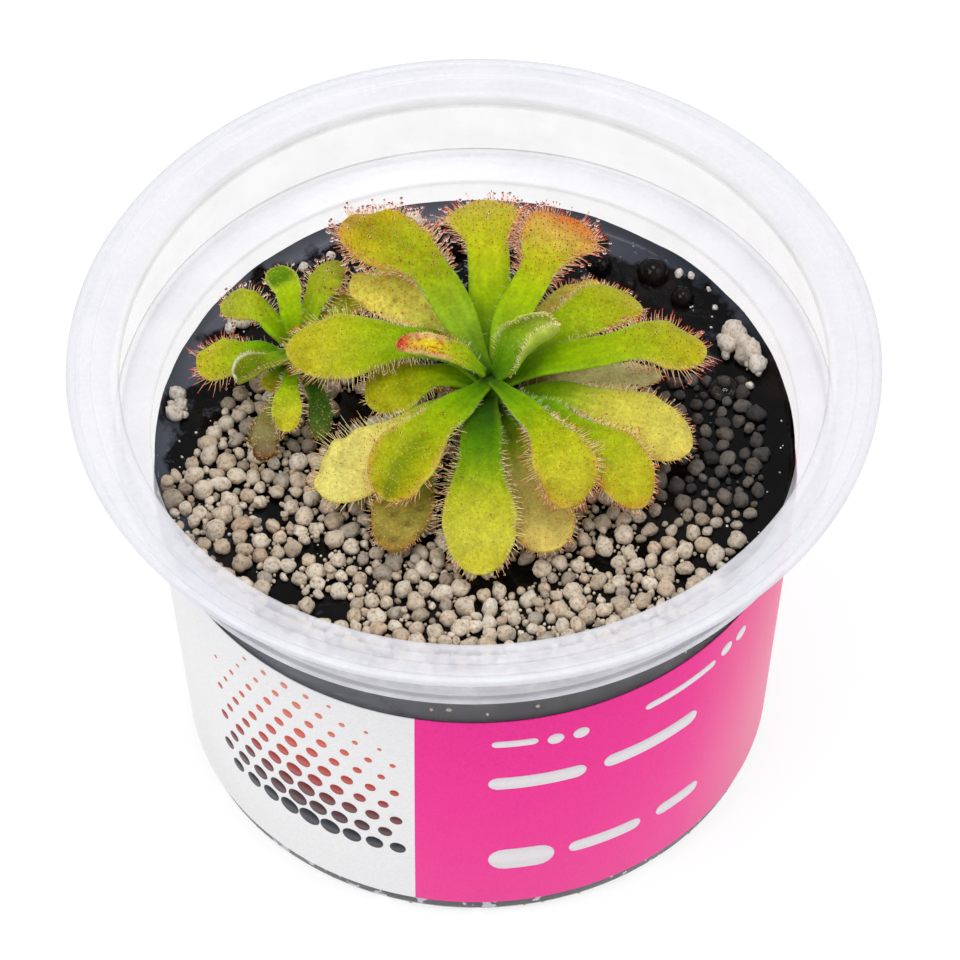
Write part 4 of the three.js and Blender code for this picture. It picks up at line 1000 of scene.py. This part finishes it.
OFFSET_LEAVES = [
    leaf("offset_leaf_back_left", "light", 52.6, [(-26, 16, 55), (-28.5, 17, 55.6), (-31, 17.5, 54)],
         2.8, 4.6, -0.4, length=1.0, blush=0.15, dew=0.2),
    leaf("offset_leaf_back", "folded", 53.8, [(-22.5, 15.5, 56.8), (-23, 17.5, 58.3), (-25, 20, 58)],
         2.8, 3.8, 0.5, red=0.3, length=0.6, blush=0.0, dense=0.4, spots=0.05),
    leaf("offset_leaf_back_right", "light", 52.6, [(-20.5, 15.5, 54), (-18.5, 20, 55.3), (-16.5, 24, 54.8)],
         2.6, 4.2, -0.3, length=1.2, blush=0.2, dew=0.6),
    leaf("offset_leaf_right", "green", 51.6, [(-19, 15.5, 52.6), (-15.5, 19, 53.2), (-12.5, 21, 52.4)],
         2.2, 4.0, -0.3, length=1.0, blush=0.4, dew=0.3),
    leaf("offset_leaf_left", "lime", 52, [(-26, 10.5, 54), (-29.5, 10, 54), (-34, 11, 51.8)],
         3.6, 6.6, -0.4, red=0.9, length=2.1, blush=0.25, plus=0.5),
    leaf("offset_leaf_cupped", "cupped", 53.6, [(-24.5, 7.5, 55.8), (-27, 6, 56.4), (-29, 3.5, 56.8)],
         2.6, 4.4, 0.9, red=0.1, length=0.3, blush=0.0, hollow=1.0, spots=0.05, wave=0.04, down=0.2),
    leaf("offset_leaf_small", "lime", 50.8, [(-24, 8.5, 51.8), (-25.5, 6.5, 51.4)],
         1.8, 3.2, -0.3, red=0.2, length=0.8, blush=0.0, spots=0.1),
    leaf("offset_leaf_front", "lime", 52.4, [(-22.5, 6, 53.8), (-23, 2.5, 53.2), (-23, -0.5, 51.6)],
         1.9, 3.8, -0.3, red=0.2, length=0.8, blush=0.05, spots=0.1),
    leaf("offset_leaf_old", "spent", 49.9, [(-24, 5.5, 50.2), (-25.5, 0.5, 50.4), (-26, -4, 50.3)],
         2.4, 4.2, 0.6, red=0.3, length=0.6, dense=0.6, spots=1.0, blush=0.1, wave=0.3),
    leaf("offset_leaf_front_right", "shade", 51, [(-20.5, 8.5, 52), (-19, 4, 51.4), (-19, -1, 50.6)],
         2.2, 3, -0.2, red=0.2, length=0.6, dense=0.5, spots=0.1, blush=0.0),
]
STATIONS = 120               # places along a leaf where its frame is kept
TIP = 0.9985                 # the last s, just short of the point where the two margins meet
LEAST_CURL = 0.001
SKIN_ROWS = 54
SKIN_COLUMNS = 19
MARGIN_STEPS = 90


def travelled(points):
    """How far along the line through them each point lies."""
    return np.concatenate([[0], np.cumsum(np.linalg.norm(np.diff(points, axis=0), axis=1))])


class Leaf:
    """The curved surface of one leaf, read by s, from 0 at the stem to 1 at the tip, and c, from -1 to 1."""

    def __init__(self, row, stem):
        self.row = row
        away = unit(np.array(row["path"][0][:2]) - stem["centre"])
        start = np.array(stem["centre"]) + away * LEAF_ROOT
        self.s = np.linspace(0, 1, STATIONS)
        self.centre, self.tangent = self.route([(*start, row["attach"]), *row["path"]])
        side = np.cross(self.tangent[0], UP)
        sides = []
        for tangent in self.tangent:
            side = unit(side - tangent * (side @ tangent))
            sides.append(side)
        self.side = np.array(sides)
        self.normal = np.cross(self.side, self.tangent)
        self.widest = row["flare"] + (1 - row["flare"]) * row["crest"]
        self.length = np.linalg.norm(np.diff(self.centre, axis=0), axis=1).sum()

    def route(self, path):
        """A centripetal Catmull-Rom curve through the path, sampled evenly by length."""
        knots = np.array(path, float)
        knots = np.vstack([2 * knots[0] - knots[1], knots, 2 * knots[-1] - knots[-2]])
        dense = []
        t = np.linspace(0, 1, 60)[:, None]
        for p0, p1, p2, p3 in zip(knots, knots[1:], knots[2:], knots[3:]):
            d0, d1, d2 = (np.linalg.norm(b - a) ** 0.5 for a, b in ((p0, p1), (p1, p2), (p2, p3)))
            m1 = ((p1 - p0) / d0 - (p2 - p0) / (d0 + d1) + (p2 - p1) / d1) * d1
            m2 = ((p2 - p1) / d1 - (p3 - p1) / (d1 + d2) + (p3 - p2) / d2) * d1
            cubic = 2 * p1 - 2 * p2 + m1 + m2
            square = -3 * p1 + 3 * p2 - 2 * m1 - m2
            dense.append(p1 + m1 * t + square * t ** 2 + cubic * t ** 3)
        dense = np.vstack(dense)
        along = travelled(dense)
        wanted = self.s * along[-1]
        centre = np.stack([np.interp(wanted, along, dense[:, k]) for k in range(3)], axis=1)
        return centre, unit(np.gradient(centre, axis=0))

    def width(self, s):
        row = self.row
        strap = row["petiole"] * (0.42 + 0.58 * smoothstep(0, 0.34, s))
        full = strap + (row["blade"] - strap) * smoothstep(row["flare"], self.widest, s)
        past = np.clip((s - self.widest) / (1 - self.widest), 0, 1)
        return full * np.sqrt(1 - past ** 2)

    def read(self, values, s):
        return np.stack([np.interp(s, self.s, values[:, k]) for k in range(3)], axis=-1)

    def at(self, s, c):
        """Points, outward normals of the upper face, and directions out over the margin and to the tip."""
        s, c = np.broadcast_arrays(np.asarray(s, float), np.asarray(c, float))
        kept = (self.centre, self.side, self.normal, self.tangent)
        centre, side, normal, tangent = (self.read(values, s) for values in kept)
        curl = self.row["curl"] * smoothstep(0.1, 0.75, s)
        curl = np.where(np.abs(curl) < LEAST_CURL, LEAST_CURL, curl)
        angle = (c * curl)[..., None]
        bend = (self.width(s) / 2 / curl)[..., None]
        point = centre + side * bend * np.sin(angle) + normal * bend * (1 - np.cos(angle))
        out = unit(normal * np.cos(angle) - side * np.sin(angle))
        across = unit(side * np.cos(angle) + normal * np.sin(angle))
        blade = smoothstep(self.row["flare"], self.widest, s)
        ripples = np.sin(s * 31 + c * 2.1 + self.length) + 0.6 * np.sin(s * 53 - c * 1.3)
        wave = self.row["wave"] * blade * np.abs(c) ** 2 * ripples
        channel = -0.35 * self.row["hollow"] * blade * np.exp(-(c / 0.45) ** 2)
        groove = -0.16 * (1 - blade) * np.exp(-(c / 0.5) ** 2)
        point = point + out * (wave + channel + groove)[..., None]
        return point, out, across, unit(tangent)

    def tint(self, s, c, points):
        """The skin's colour: its tone, and over it the rim, veins, blush, the channel's painted shade, young
        edges, worn patches, red dots, rolled margins and hot tip."""
        row, tone = self.row, self.row["tone"]
        blade = smoothstep(row["flare"] - 0.05, self.widest, s)
        side = np.clip(c, 0, 1) if tone == "cupped" else np.abs(c)
        rim = np.maximum(smoothstep(0.78, 1.0, side), smoothstep(0.95, 1.0, s) * (side > 0)) * blade
        edge = np.maximum(smoothstep(0.72, 1.0, np.abs(c)), smoothstep(0.93, 1.0, s)) * blade
        patchy = 0.5 + 0.5 * ripple(points, (5.5, 3.7, 2.6), len(row["name"]) * 17 + int(row["blade"] * 10))
        blotch = smoothstep(0.25, 0.8, ripple(points, (2.8, 1.9, 1.3), int(row["blade"] * 31)))
        fine = smoothstep(0.3, 0.55, ripple(points, (0.72, 0.6, 0.5), 77)) * smoothstep(0.42, 0.6, s)
        rolled = row["rolled"] * smoothstep(0.5, 0.72, np.abs(c)) * smoothstep(0.4, 0.6, s)
        hot = row["ember"] * smoothstep(0.84, 1.0, s + 0.06 * patchy) * (0.5 + 0.5 * patchy)
        *rim_colour, rim_strength = RIMS.get(tone, RIM)
        *worn_colour, worn_strength = WORNS.get(tone, WORN)
        colour = mix(stops(TONES[tone], s), srgb(*rim_colour), rim[..., None] * rim_strength)
        colour = colour * (1 + 0.07 * (1 - blade) * np.cos(c * 11 + s * 4))[..., None]
        for shade, share in (
            ((226, 100, 34), np.clip(row["blush"] * edge * (0.3 + 0.9 * patchy), 0, 1) * 0.6),
            # painted shade: the channel down the middle of the blade is darkened
            ((82, 122, 0), row["hollow"] * 0.8 * (np.exp(-(c / 0.4) ** 2) * blade)),
            ((138, 180, 22), (1 - blade) * smoothstep(0.5, 1.0, np.abs(c)) * 0.4),
            (worn_colour, row["spots"] * blotch * blade * worn_strength),
            ((196, 40, 10), row["freckles"] * fine),
            ((216, 182, 122), rolled),
            ((206, 26, 14), hot),
        ):
            colour = mix(colour, srgb(*shade), share[..., None])
        return colour


def leaf_grid(shape):
    """Upper and lower faces of a leaf as one closed skin, thin at its margin."""
    along = (1 - (1 - np.linspace(0, 1, SKIN_ROWS)) ** 1.5) * TIP
    across = np.sin(np.linspace(-math.pi / 2, math.pi / 2, SKIN_COLUMNS))
    s, c = (values.ravel() for values in np.meshgrid(along, across, indexing="ij"))
    point, out, _, _ = shape.at(s, c)
    half = shape.row["thick"] / 2 * (0.22 + 0.78 * np.sqrt(np.clip(1 - np.abs(c) ** 5, 0, 1)))
    half = np.minimum(half, 0.12 + shape.width(s) * 0.2)[..., None]
    upper, lower = point + out * half, point - out * half
    under = mix(shape.tint(s, c, lower), srgb(170, 184, 80), 0.3)
    smooth = 1 - smoothstep(shape.row["flare"] - 0.08, shape.widest - 0.05, s)
    bald = np.concatenate([smooth, np.ones(len(s))])
    tints = np.vstack([shape.tint(s, c, upper), under])
    return np.vstack([upper, lower]), skin_faces(SKIN_ROWS, SKIN_COLUMNS), np.column_stack([tints, bald])


def margin_sites(shape, spacing, inset=0.0):
    """Places round the blade's outline, from one side over the tip to the other, somewhat inside it."""
    start, steps = shape.row["flare"] - 0.03, MARGIN_STEPS
    s = np.concatenate([np.linspace(start, 1, steps), np.linspace(1, start, steps)[1:]])
    c = np.concatenate([-np.ones(steps), np.ones(steps - 1)])
    along = travelled(shape.at(np.minimum(s, TIP), c)[0])
    count = int(along[-1] / spacing)
    wanted = (np.arange(count) + random.uniform(0.1, 0.9, count)) * spacing
    position = np.interp(wanted, along, np.arange(len(s)))
    s = np.interp(position, np.arange(len(s)), s)
    inner = random.uniform(0.2, 1.0, count) * inset
    c = np.where(position < steps - 1, -1.0, 1.0) * (1 - inner)
    return np.minimum(s, TIP - inner * 0.35), c


def face_sites(shape, spacing):
    """Places strewn over the blade's upper face, none closer than the spacing."""
    start = shape.row["flare"] - 0.06
    area = shape.length * (1 - start) * shape.row["blade"]
    tries = int(3 * area / spacing ** 2)
    s, c = random.uniform(start, 0.985, tries), random.uniform(-0.9, 0.9, tries)
    near = np.clip((s - start) / (shape.widest - start), 0, 1)
    kept = random.uniform(size=tries) < shape.width(s) / shape.row["blade"] * (0.25 + 0.75 * near)
    s, c = s[kept], c[kept]
    points = shape.at(s, c)[0]
    chosen = []
    for i in range(len(s)):
        if not chosen or np.linalg.norm(points[chosen] - points[i], axis=1).min() > spacing:
            chosen.append(i)
    return s[chosen], c[chosen]


# ------------------------------------------------------------ tentacles and down
STALK_PALE = srgb(250, 240, 176)
STALK_RED = srgb(242, 122, 108)
HEAD_PALE = srgb(216, 122, 50)
HEAD_RED = srgb(196, 28, 26)
FACE_PALE = srgb(178, 112, 30)
FACE_RED = srgb(178, 26, 14)
DOWN = srgb(244, 246, 214)
FACE_SPACING = 0.58
MARGIN_SPACING = 0.43
ON_MARGIN, INSIDE_MARGIN, ON_FACE = range(3)
MARGIN_STALK = (0.044, 0.022, 2)    # radius at the foot, radius at the head, and parts
FACE_STALK = (0.024, 0.018, 1)
HAIR = (0.015, 0.007, 2)
TUBE_SIDES = 3
HAIRY = 3                    # a leaf with more down than this has it all along
HEAD_STRETCH = 1.3
DROP_STRETCH = 1.1
LEAST_DROP = 0.09


def scatter(count):
    return random.normal(size=(count, 3))


def add_tubes(shell, root, way, bend, length, form, near, far):
    """Slender closed tubes, one for each root. Their form is the radius at both ends and the number of parts,
    and they go from colour near to colour far."""
    thick, thin, parts = form
    helper = np.where(np.abs(way[:, 2:]) < 0.9, UP, np.array([1.0, 0, 0]))
    u = unit(np.cross(way, helper))
    v = np.cross(way, u)
    count = len(root)
    rings, tints = [], []
    for t in np.linspace(0, 1, parts + 1):
        centre = root + way * (length * t)[:, None] + bend * (length * t * t)[:, None]
        for k in range(TUBE_SIDES):
            angle = 2 * math.pi * k / TUBE_SIDES
            rings.append(centre + (u * math.cos(angle) + v * math.sin(angle)) * mix(thick, thin, t))
            tints.append(np.broadcast_to(mix(near, far, smoothstep(0.25, 0.9, t)), (count, 3)))
    block = len(rings)
    local = [tuple(range(TUBE_SIDES))[::-1], tuple(range(block - TUBE_SIDES, block))]
    for ring in range(0, TUBE_SIDES * parts, TUBE_SIDES):
        for k in range(TUBE_SIDES):
            a, b = ring + k, ring + (k + 1) % TUBE_SIDES
            local.append((a, b, b + TUBE_SIDES, a + TUBE_SIDES))
    faces = [tuple(index + block * i for index in face) for i in range(count) for face in local]
    shell.add(np.stack(rings, axis=1), faces, np.stack(tints, axis=1).reshape(-1, 3))


def add_balls(shell, centres, radii, axes, stretch, tint, detail):
    """Small balls, drawn out along their axes."""
    ball, triangles = SPHERES[detail]
    along = axes @ ball.T
    shapes = ball[None] + along[..., None] * axes[:, None] * (stretch - 1)
    points = shapes * radii[:, None, None] + centres[:, None]
    faces = (triangles[None] + np.arange(len(centres))[:, None, None] * len(ball)).reshape(-1, 3)
    tints = np.repeat(np.broadcast_to(tint, centres.shape), len(ball), axis=0)
    shell.add(points, faces, tints)


def clear_of(blades, own, start, end):
    """Which of the stretches from start to end cross no leaf other than their own."""
    clear = np.ones(len(start), bool)
    others = [tree for name, tree in blades.items() if name != own]
    for i in range(len(start)):
        ray = Vector(end[i] - start[i])
        way, reach = ray.normalized(), ray.length + 0.2
        clear[i] = not any(tree.ray_cast(Vector(start[i]), way, reach)[0] for tree in others)
    return clear


def add_down(shell, shape, blades):
    """Fine pale hairs on both margins, most of all where the stalk widens into the blade."""
    row = shape.row
    count = int(row["down"] * shape.length * 5)
    s = row["flare"] + random.normal(size=count) * 0.13
    if row["down"] > HAIRY:
        s = random.uniform(0.3, 0.97, count)
    s = np.clip(s, 0.12, 0.97)
    sign = random.choice([-1.0, 1.0], count)
    root, out, across, tangent = shape.at(s, sign * random.uniform(0.8, 1.0, count))
    way = across * sign[:, None] + out * random.uniform(0.2, 1.3, (count, 1))
    way = way + tangent * random.uniform(-0.3, 0.5, (count, 1))
    way = unit(way + scatter(count) * 0.15)
    length = random.uniform(0.35, 1.0, count)
    bend = unit(scatter(count)) * 0.2
    root = root + out * 0.1
    kept = clear_of(blades, row["name"], root, root + (way + bend) * length[:, None])
    if kept.any():
        add_tubes(shell, root[kept], way[kept], bend[kept], length[kept], HAIR, DOWN, DOWN)


def tentacle_sites(shape):
    """The places s and c of a leaf's tentacles, and the zone that each one stands in."""
    dense = shape.row["dense"]
    sites = [margin_sites(shape, MARGIN_SPACING / dense),
             margin_sites(shape, 1.5 * MARGIN_SPACING / dense, 0.2),
             face_sites(shape, FACE_SPACING / dense ** 0.5)]
    s, c = (np.concatenate(values) for values in zip(*sites))
    return s, c, np.repeat([ON_MARGIN, INSIDE_MARGIN, ON_FACE], [len(values[0]) for values in sites])


def tentacle_lines(shape, s, c, zone):
    """The foot, direction, bend and length of each tentacle."""
    row, count = shape.row, len(s)
    root, out, across, tangent = shape.at(s, c)
    beyond = smoothstep(shape.widest, 1.0, s)
    sideways = across * np.sign(c)[:, None]
    outward = unit(sideways * (1 - 0.75 * beyond[:, None]) + tangent * (0.1 + 1.25 * beyond[:, None]))
    lean = np.choose(zone, [random.uniform(-0.1, 0.8, count), random.uniform(0.7, 1.8, count), 0])
    way = unit(outward + out * lean[:, None] + scatter(count) * 0.12)
    upright = unit(out + across * c[:, None] * 0.3 + scatter(count) * 0.15)
    way = np.where((zone == ON_FACE)[:, None], upright, way)
    grown = smoothstep(row["flare"] - 0.04, row["flare"] + 0.08, s) * 0.5 + 0.5
    grown *= mix(np.where(c > 0, row["plus"], row["minus"]), row["tip"], beyond)
    short = min(0.55, row["length"] * 0.32)
    length = np.choose(zone, [row["length"] * grown * random.uniform(0.4, 1.2, count),
                              row["length"] * 0.7 * grown * random.uniform(0.5, 1.0, count),
                              short * random.uniform(0.5, 1.3, count)])
    bend = unit(scatter(count)) * 0.12 + out * 0.14
    start = root + way * 0.03 + out * np.where(zone == ON_MARGIN, 0, row["thick"] * 0.42)[:, None]
    return start, way, bend, length


def tentacle_tints(shape, s, c, zone):
    """The colours of each tentacle's foot, top and head."""
    on_face, count = (zone == ON_FACE)[:, None], len(s)
    redness = shape.row["red"] + 0.15 * smoothstep(shape.widest, 1.0, s) + random.normal(size=count) * 0.16
    redness = np.clip(redness, 0, 1)[:, None]
    skin = shape.tint(s, c, shape.at(s, c)[0])
    near = np.where(on_face, skin, mix(STALK_PALE, STALK_RED, redness * 0.3))
    far = np.where(on_face, skin, mix(STALK_PALE, STALK_RED, np.clip(redness * 1.1, 0, 1)))
    head = mix(HEAD_PALE, HEAD_RED, redness) * random.uniform(0.75, 1.15, (count, 1))
    return near, far, np.where(on_face, mix(FACE_PALE, FACE_RED, redness), head)


def grow_tentacles(shape, blades):
    """Tentacles round the margin and on the face of a leaf, and the drops that they hold."""
    row = shape.row
    s, c, zone = tentacle_sites(shape)
    on_face, count = zone == ON_FACE, len(s)
    start, way, bend, length = tentacle_lines(shape, s, c, zone)
    end = start + (way + bend) * length[:, None]
    kept = clear_of(blades, row["name"], start, end)
    near, far, head = tentacle_tints(shape, s, c, zone)
    size = np.choose(zone, [random.uniform(0.05, 0.075, count), random.uniform(0.05, 0.07, count),
                            random.uniform(0.04, 0.085, count)]) * (0.85 + 0.45 * row["red"])
    axes = unit(way + bend * 2)

    stalks = Shell()
    for form, group in ((MARGIN_STALK, ~on_face & kept), (FACE_STALK, on_face & kept)):
        parts = (values[group] for values in (start, way, bend, length))
        add_tubes(stalks, *parts, form, near[group], far[group])
        add_balls(stalks, end[group], size[group], axes[group], HEAD_STRETCH, head[group], 0)
    add_down(stalks, shape, blades)
    stalks.piece(f"{row['name']}_tentacles", TENTACLE, "tentacle_red")

    wet = (random.uniform(size=count) < np.where(on_face, 0.35, 1.0) * row["dew"]) & kept
    if wet.any():
        drops = Shell()
        drop = np.maximum(size[wet], LEAST_DROP) * random.uniform(1.6, 2.8, wet.sum())
        add_balls(drops, end[wet], drop, axes[wet], DROP_STRETCH, np.ones(3), 1)
        drops.piece(f"{row['name']}_dew", DEW, "dew")


def make_leaves():
    shapes = [Leaf(row, STEMS["rosette"]) for row in ROSETTE_LEAVES]
    shapes += [Leaf(row, STEMS["offset"]) for row in OFFSET_LEAVES]
    blades = {}
    for shape in shapes:
        name = shape.row["name"]
        points, faces, tints = leaf_grid(shape)
        Shell().add(points, faces, tints).piece(f"fine_{name}", LEAF, SLOTS[name], [name])
        blades[name] = BVHTree.FromPolygons([Vector(point) for point in points], faces)
    for shape in shapes:
        grow_tentacles(shape, blades)


# --------------------------------------------------------------- light and floor
AIM = (0, 0, 0.05)
LAMPS = {                    # place, how wide, how strong
    "key": ((-0.5, -0.4, 0.95), 0.6, 4.6),
    "fill": ((0.75, -0.2, 0.8), 0.7, 2.8),
    "top": ((0.1, 0.1, 1.1), 0.35, 2.2),
}
SKY_STRENGTH = 0.42
FLOOR_REACH = 4.0
FLOOR_DROP = 0.0001          # keeps the floor from touching the foot


def add_studio():
    """A pale floor under wide soft lights."""
    link = bpy.context.scene.collection.objects.link
    mesh = bpy.data.meshes.new("floor")
    corners = [(-1, -1), (1, -1), (1, 1), (-1, 1)]
    mesh.from_pydata([(x * FLOOR_REACH, y * FLOOR_REACH, 0) for x, y in corners], [], [(0, 1, 2, 3)])
    mesh.materials.append(floor_look())
    floor = bpy.data.objects.new("floor", mesh)
    floor.location.z = -FLOOR_DROP
    link(floor)
    floor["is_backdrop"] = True
    world = bpy.data.worlds.new("studio")
    world.use_nodes = True
    sky = world.node_tree.nodes["Background"]
    sky.inputs["Color"].default_value = (1, 1, 1, 1)
    sky.inputs["Strength"].default_value = SKY_STRENGTH
    bpy.context.scene.world = world
    for name, (place, size, power) in LAMPS.items():
        data = bpy.data.lights.new(name, "AREA")
        data.shape = "SQUARE"
        data.size = size
        data.energy = power
        lamp = bpy.data.objects.new(name, data)
        lamp.location = place
        lamp.rotation_euler = (Vector(AIM) - Vector(place)).to_track_quat("-Z", "Y").to_euler()
        link(lamp)
    bpy.context.scene.view_settings.view_transform = "Standard"


add_camera()
add_studio()
GRANULE = granule_look()
LEAF = leaf_look()
TENTACLE = tentacle_look()
DEW = dew_look()
make_cup()
make_label()
make_marks()
make_gel()
make_granules()
make_bubbles()
make_clumps()
make_bits()
make_stems()
make_leaves()

sizes = {"cad": CAD_BOX, "visual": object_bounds()}
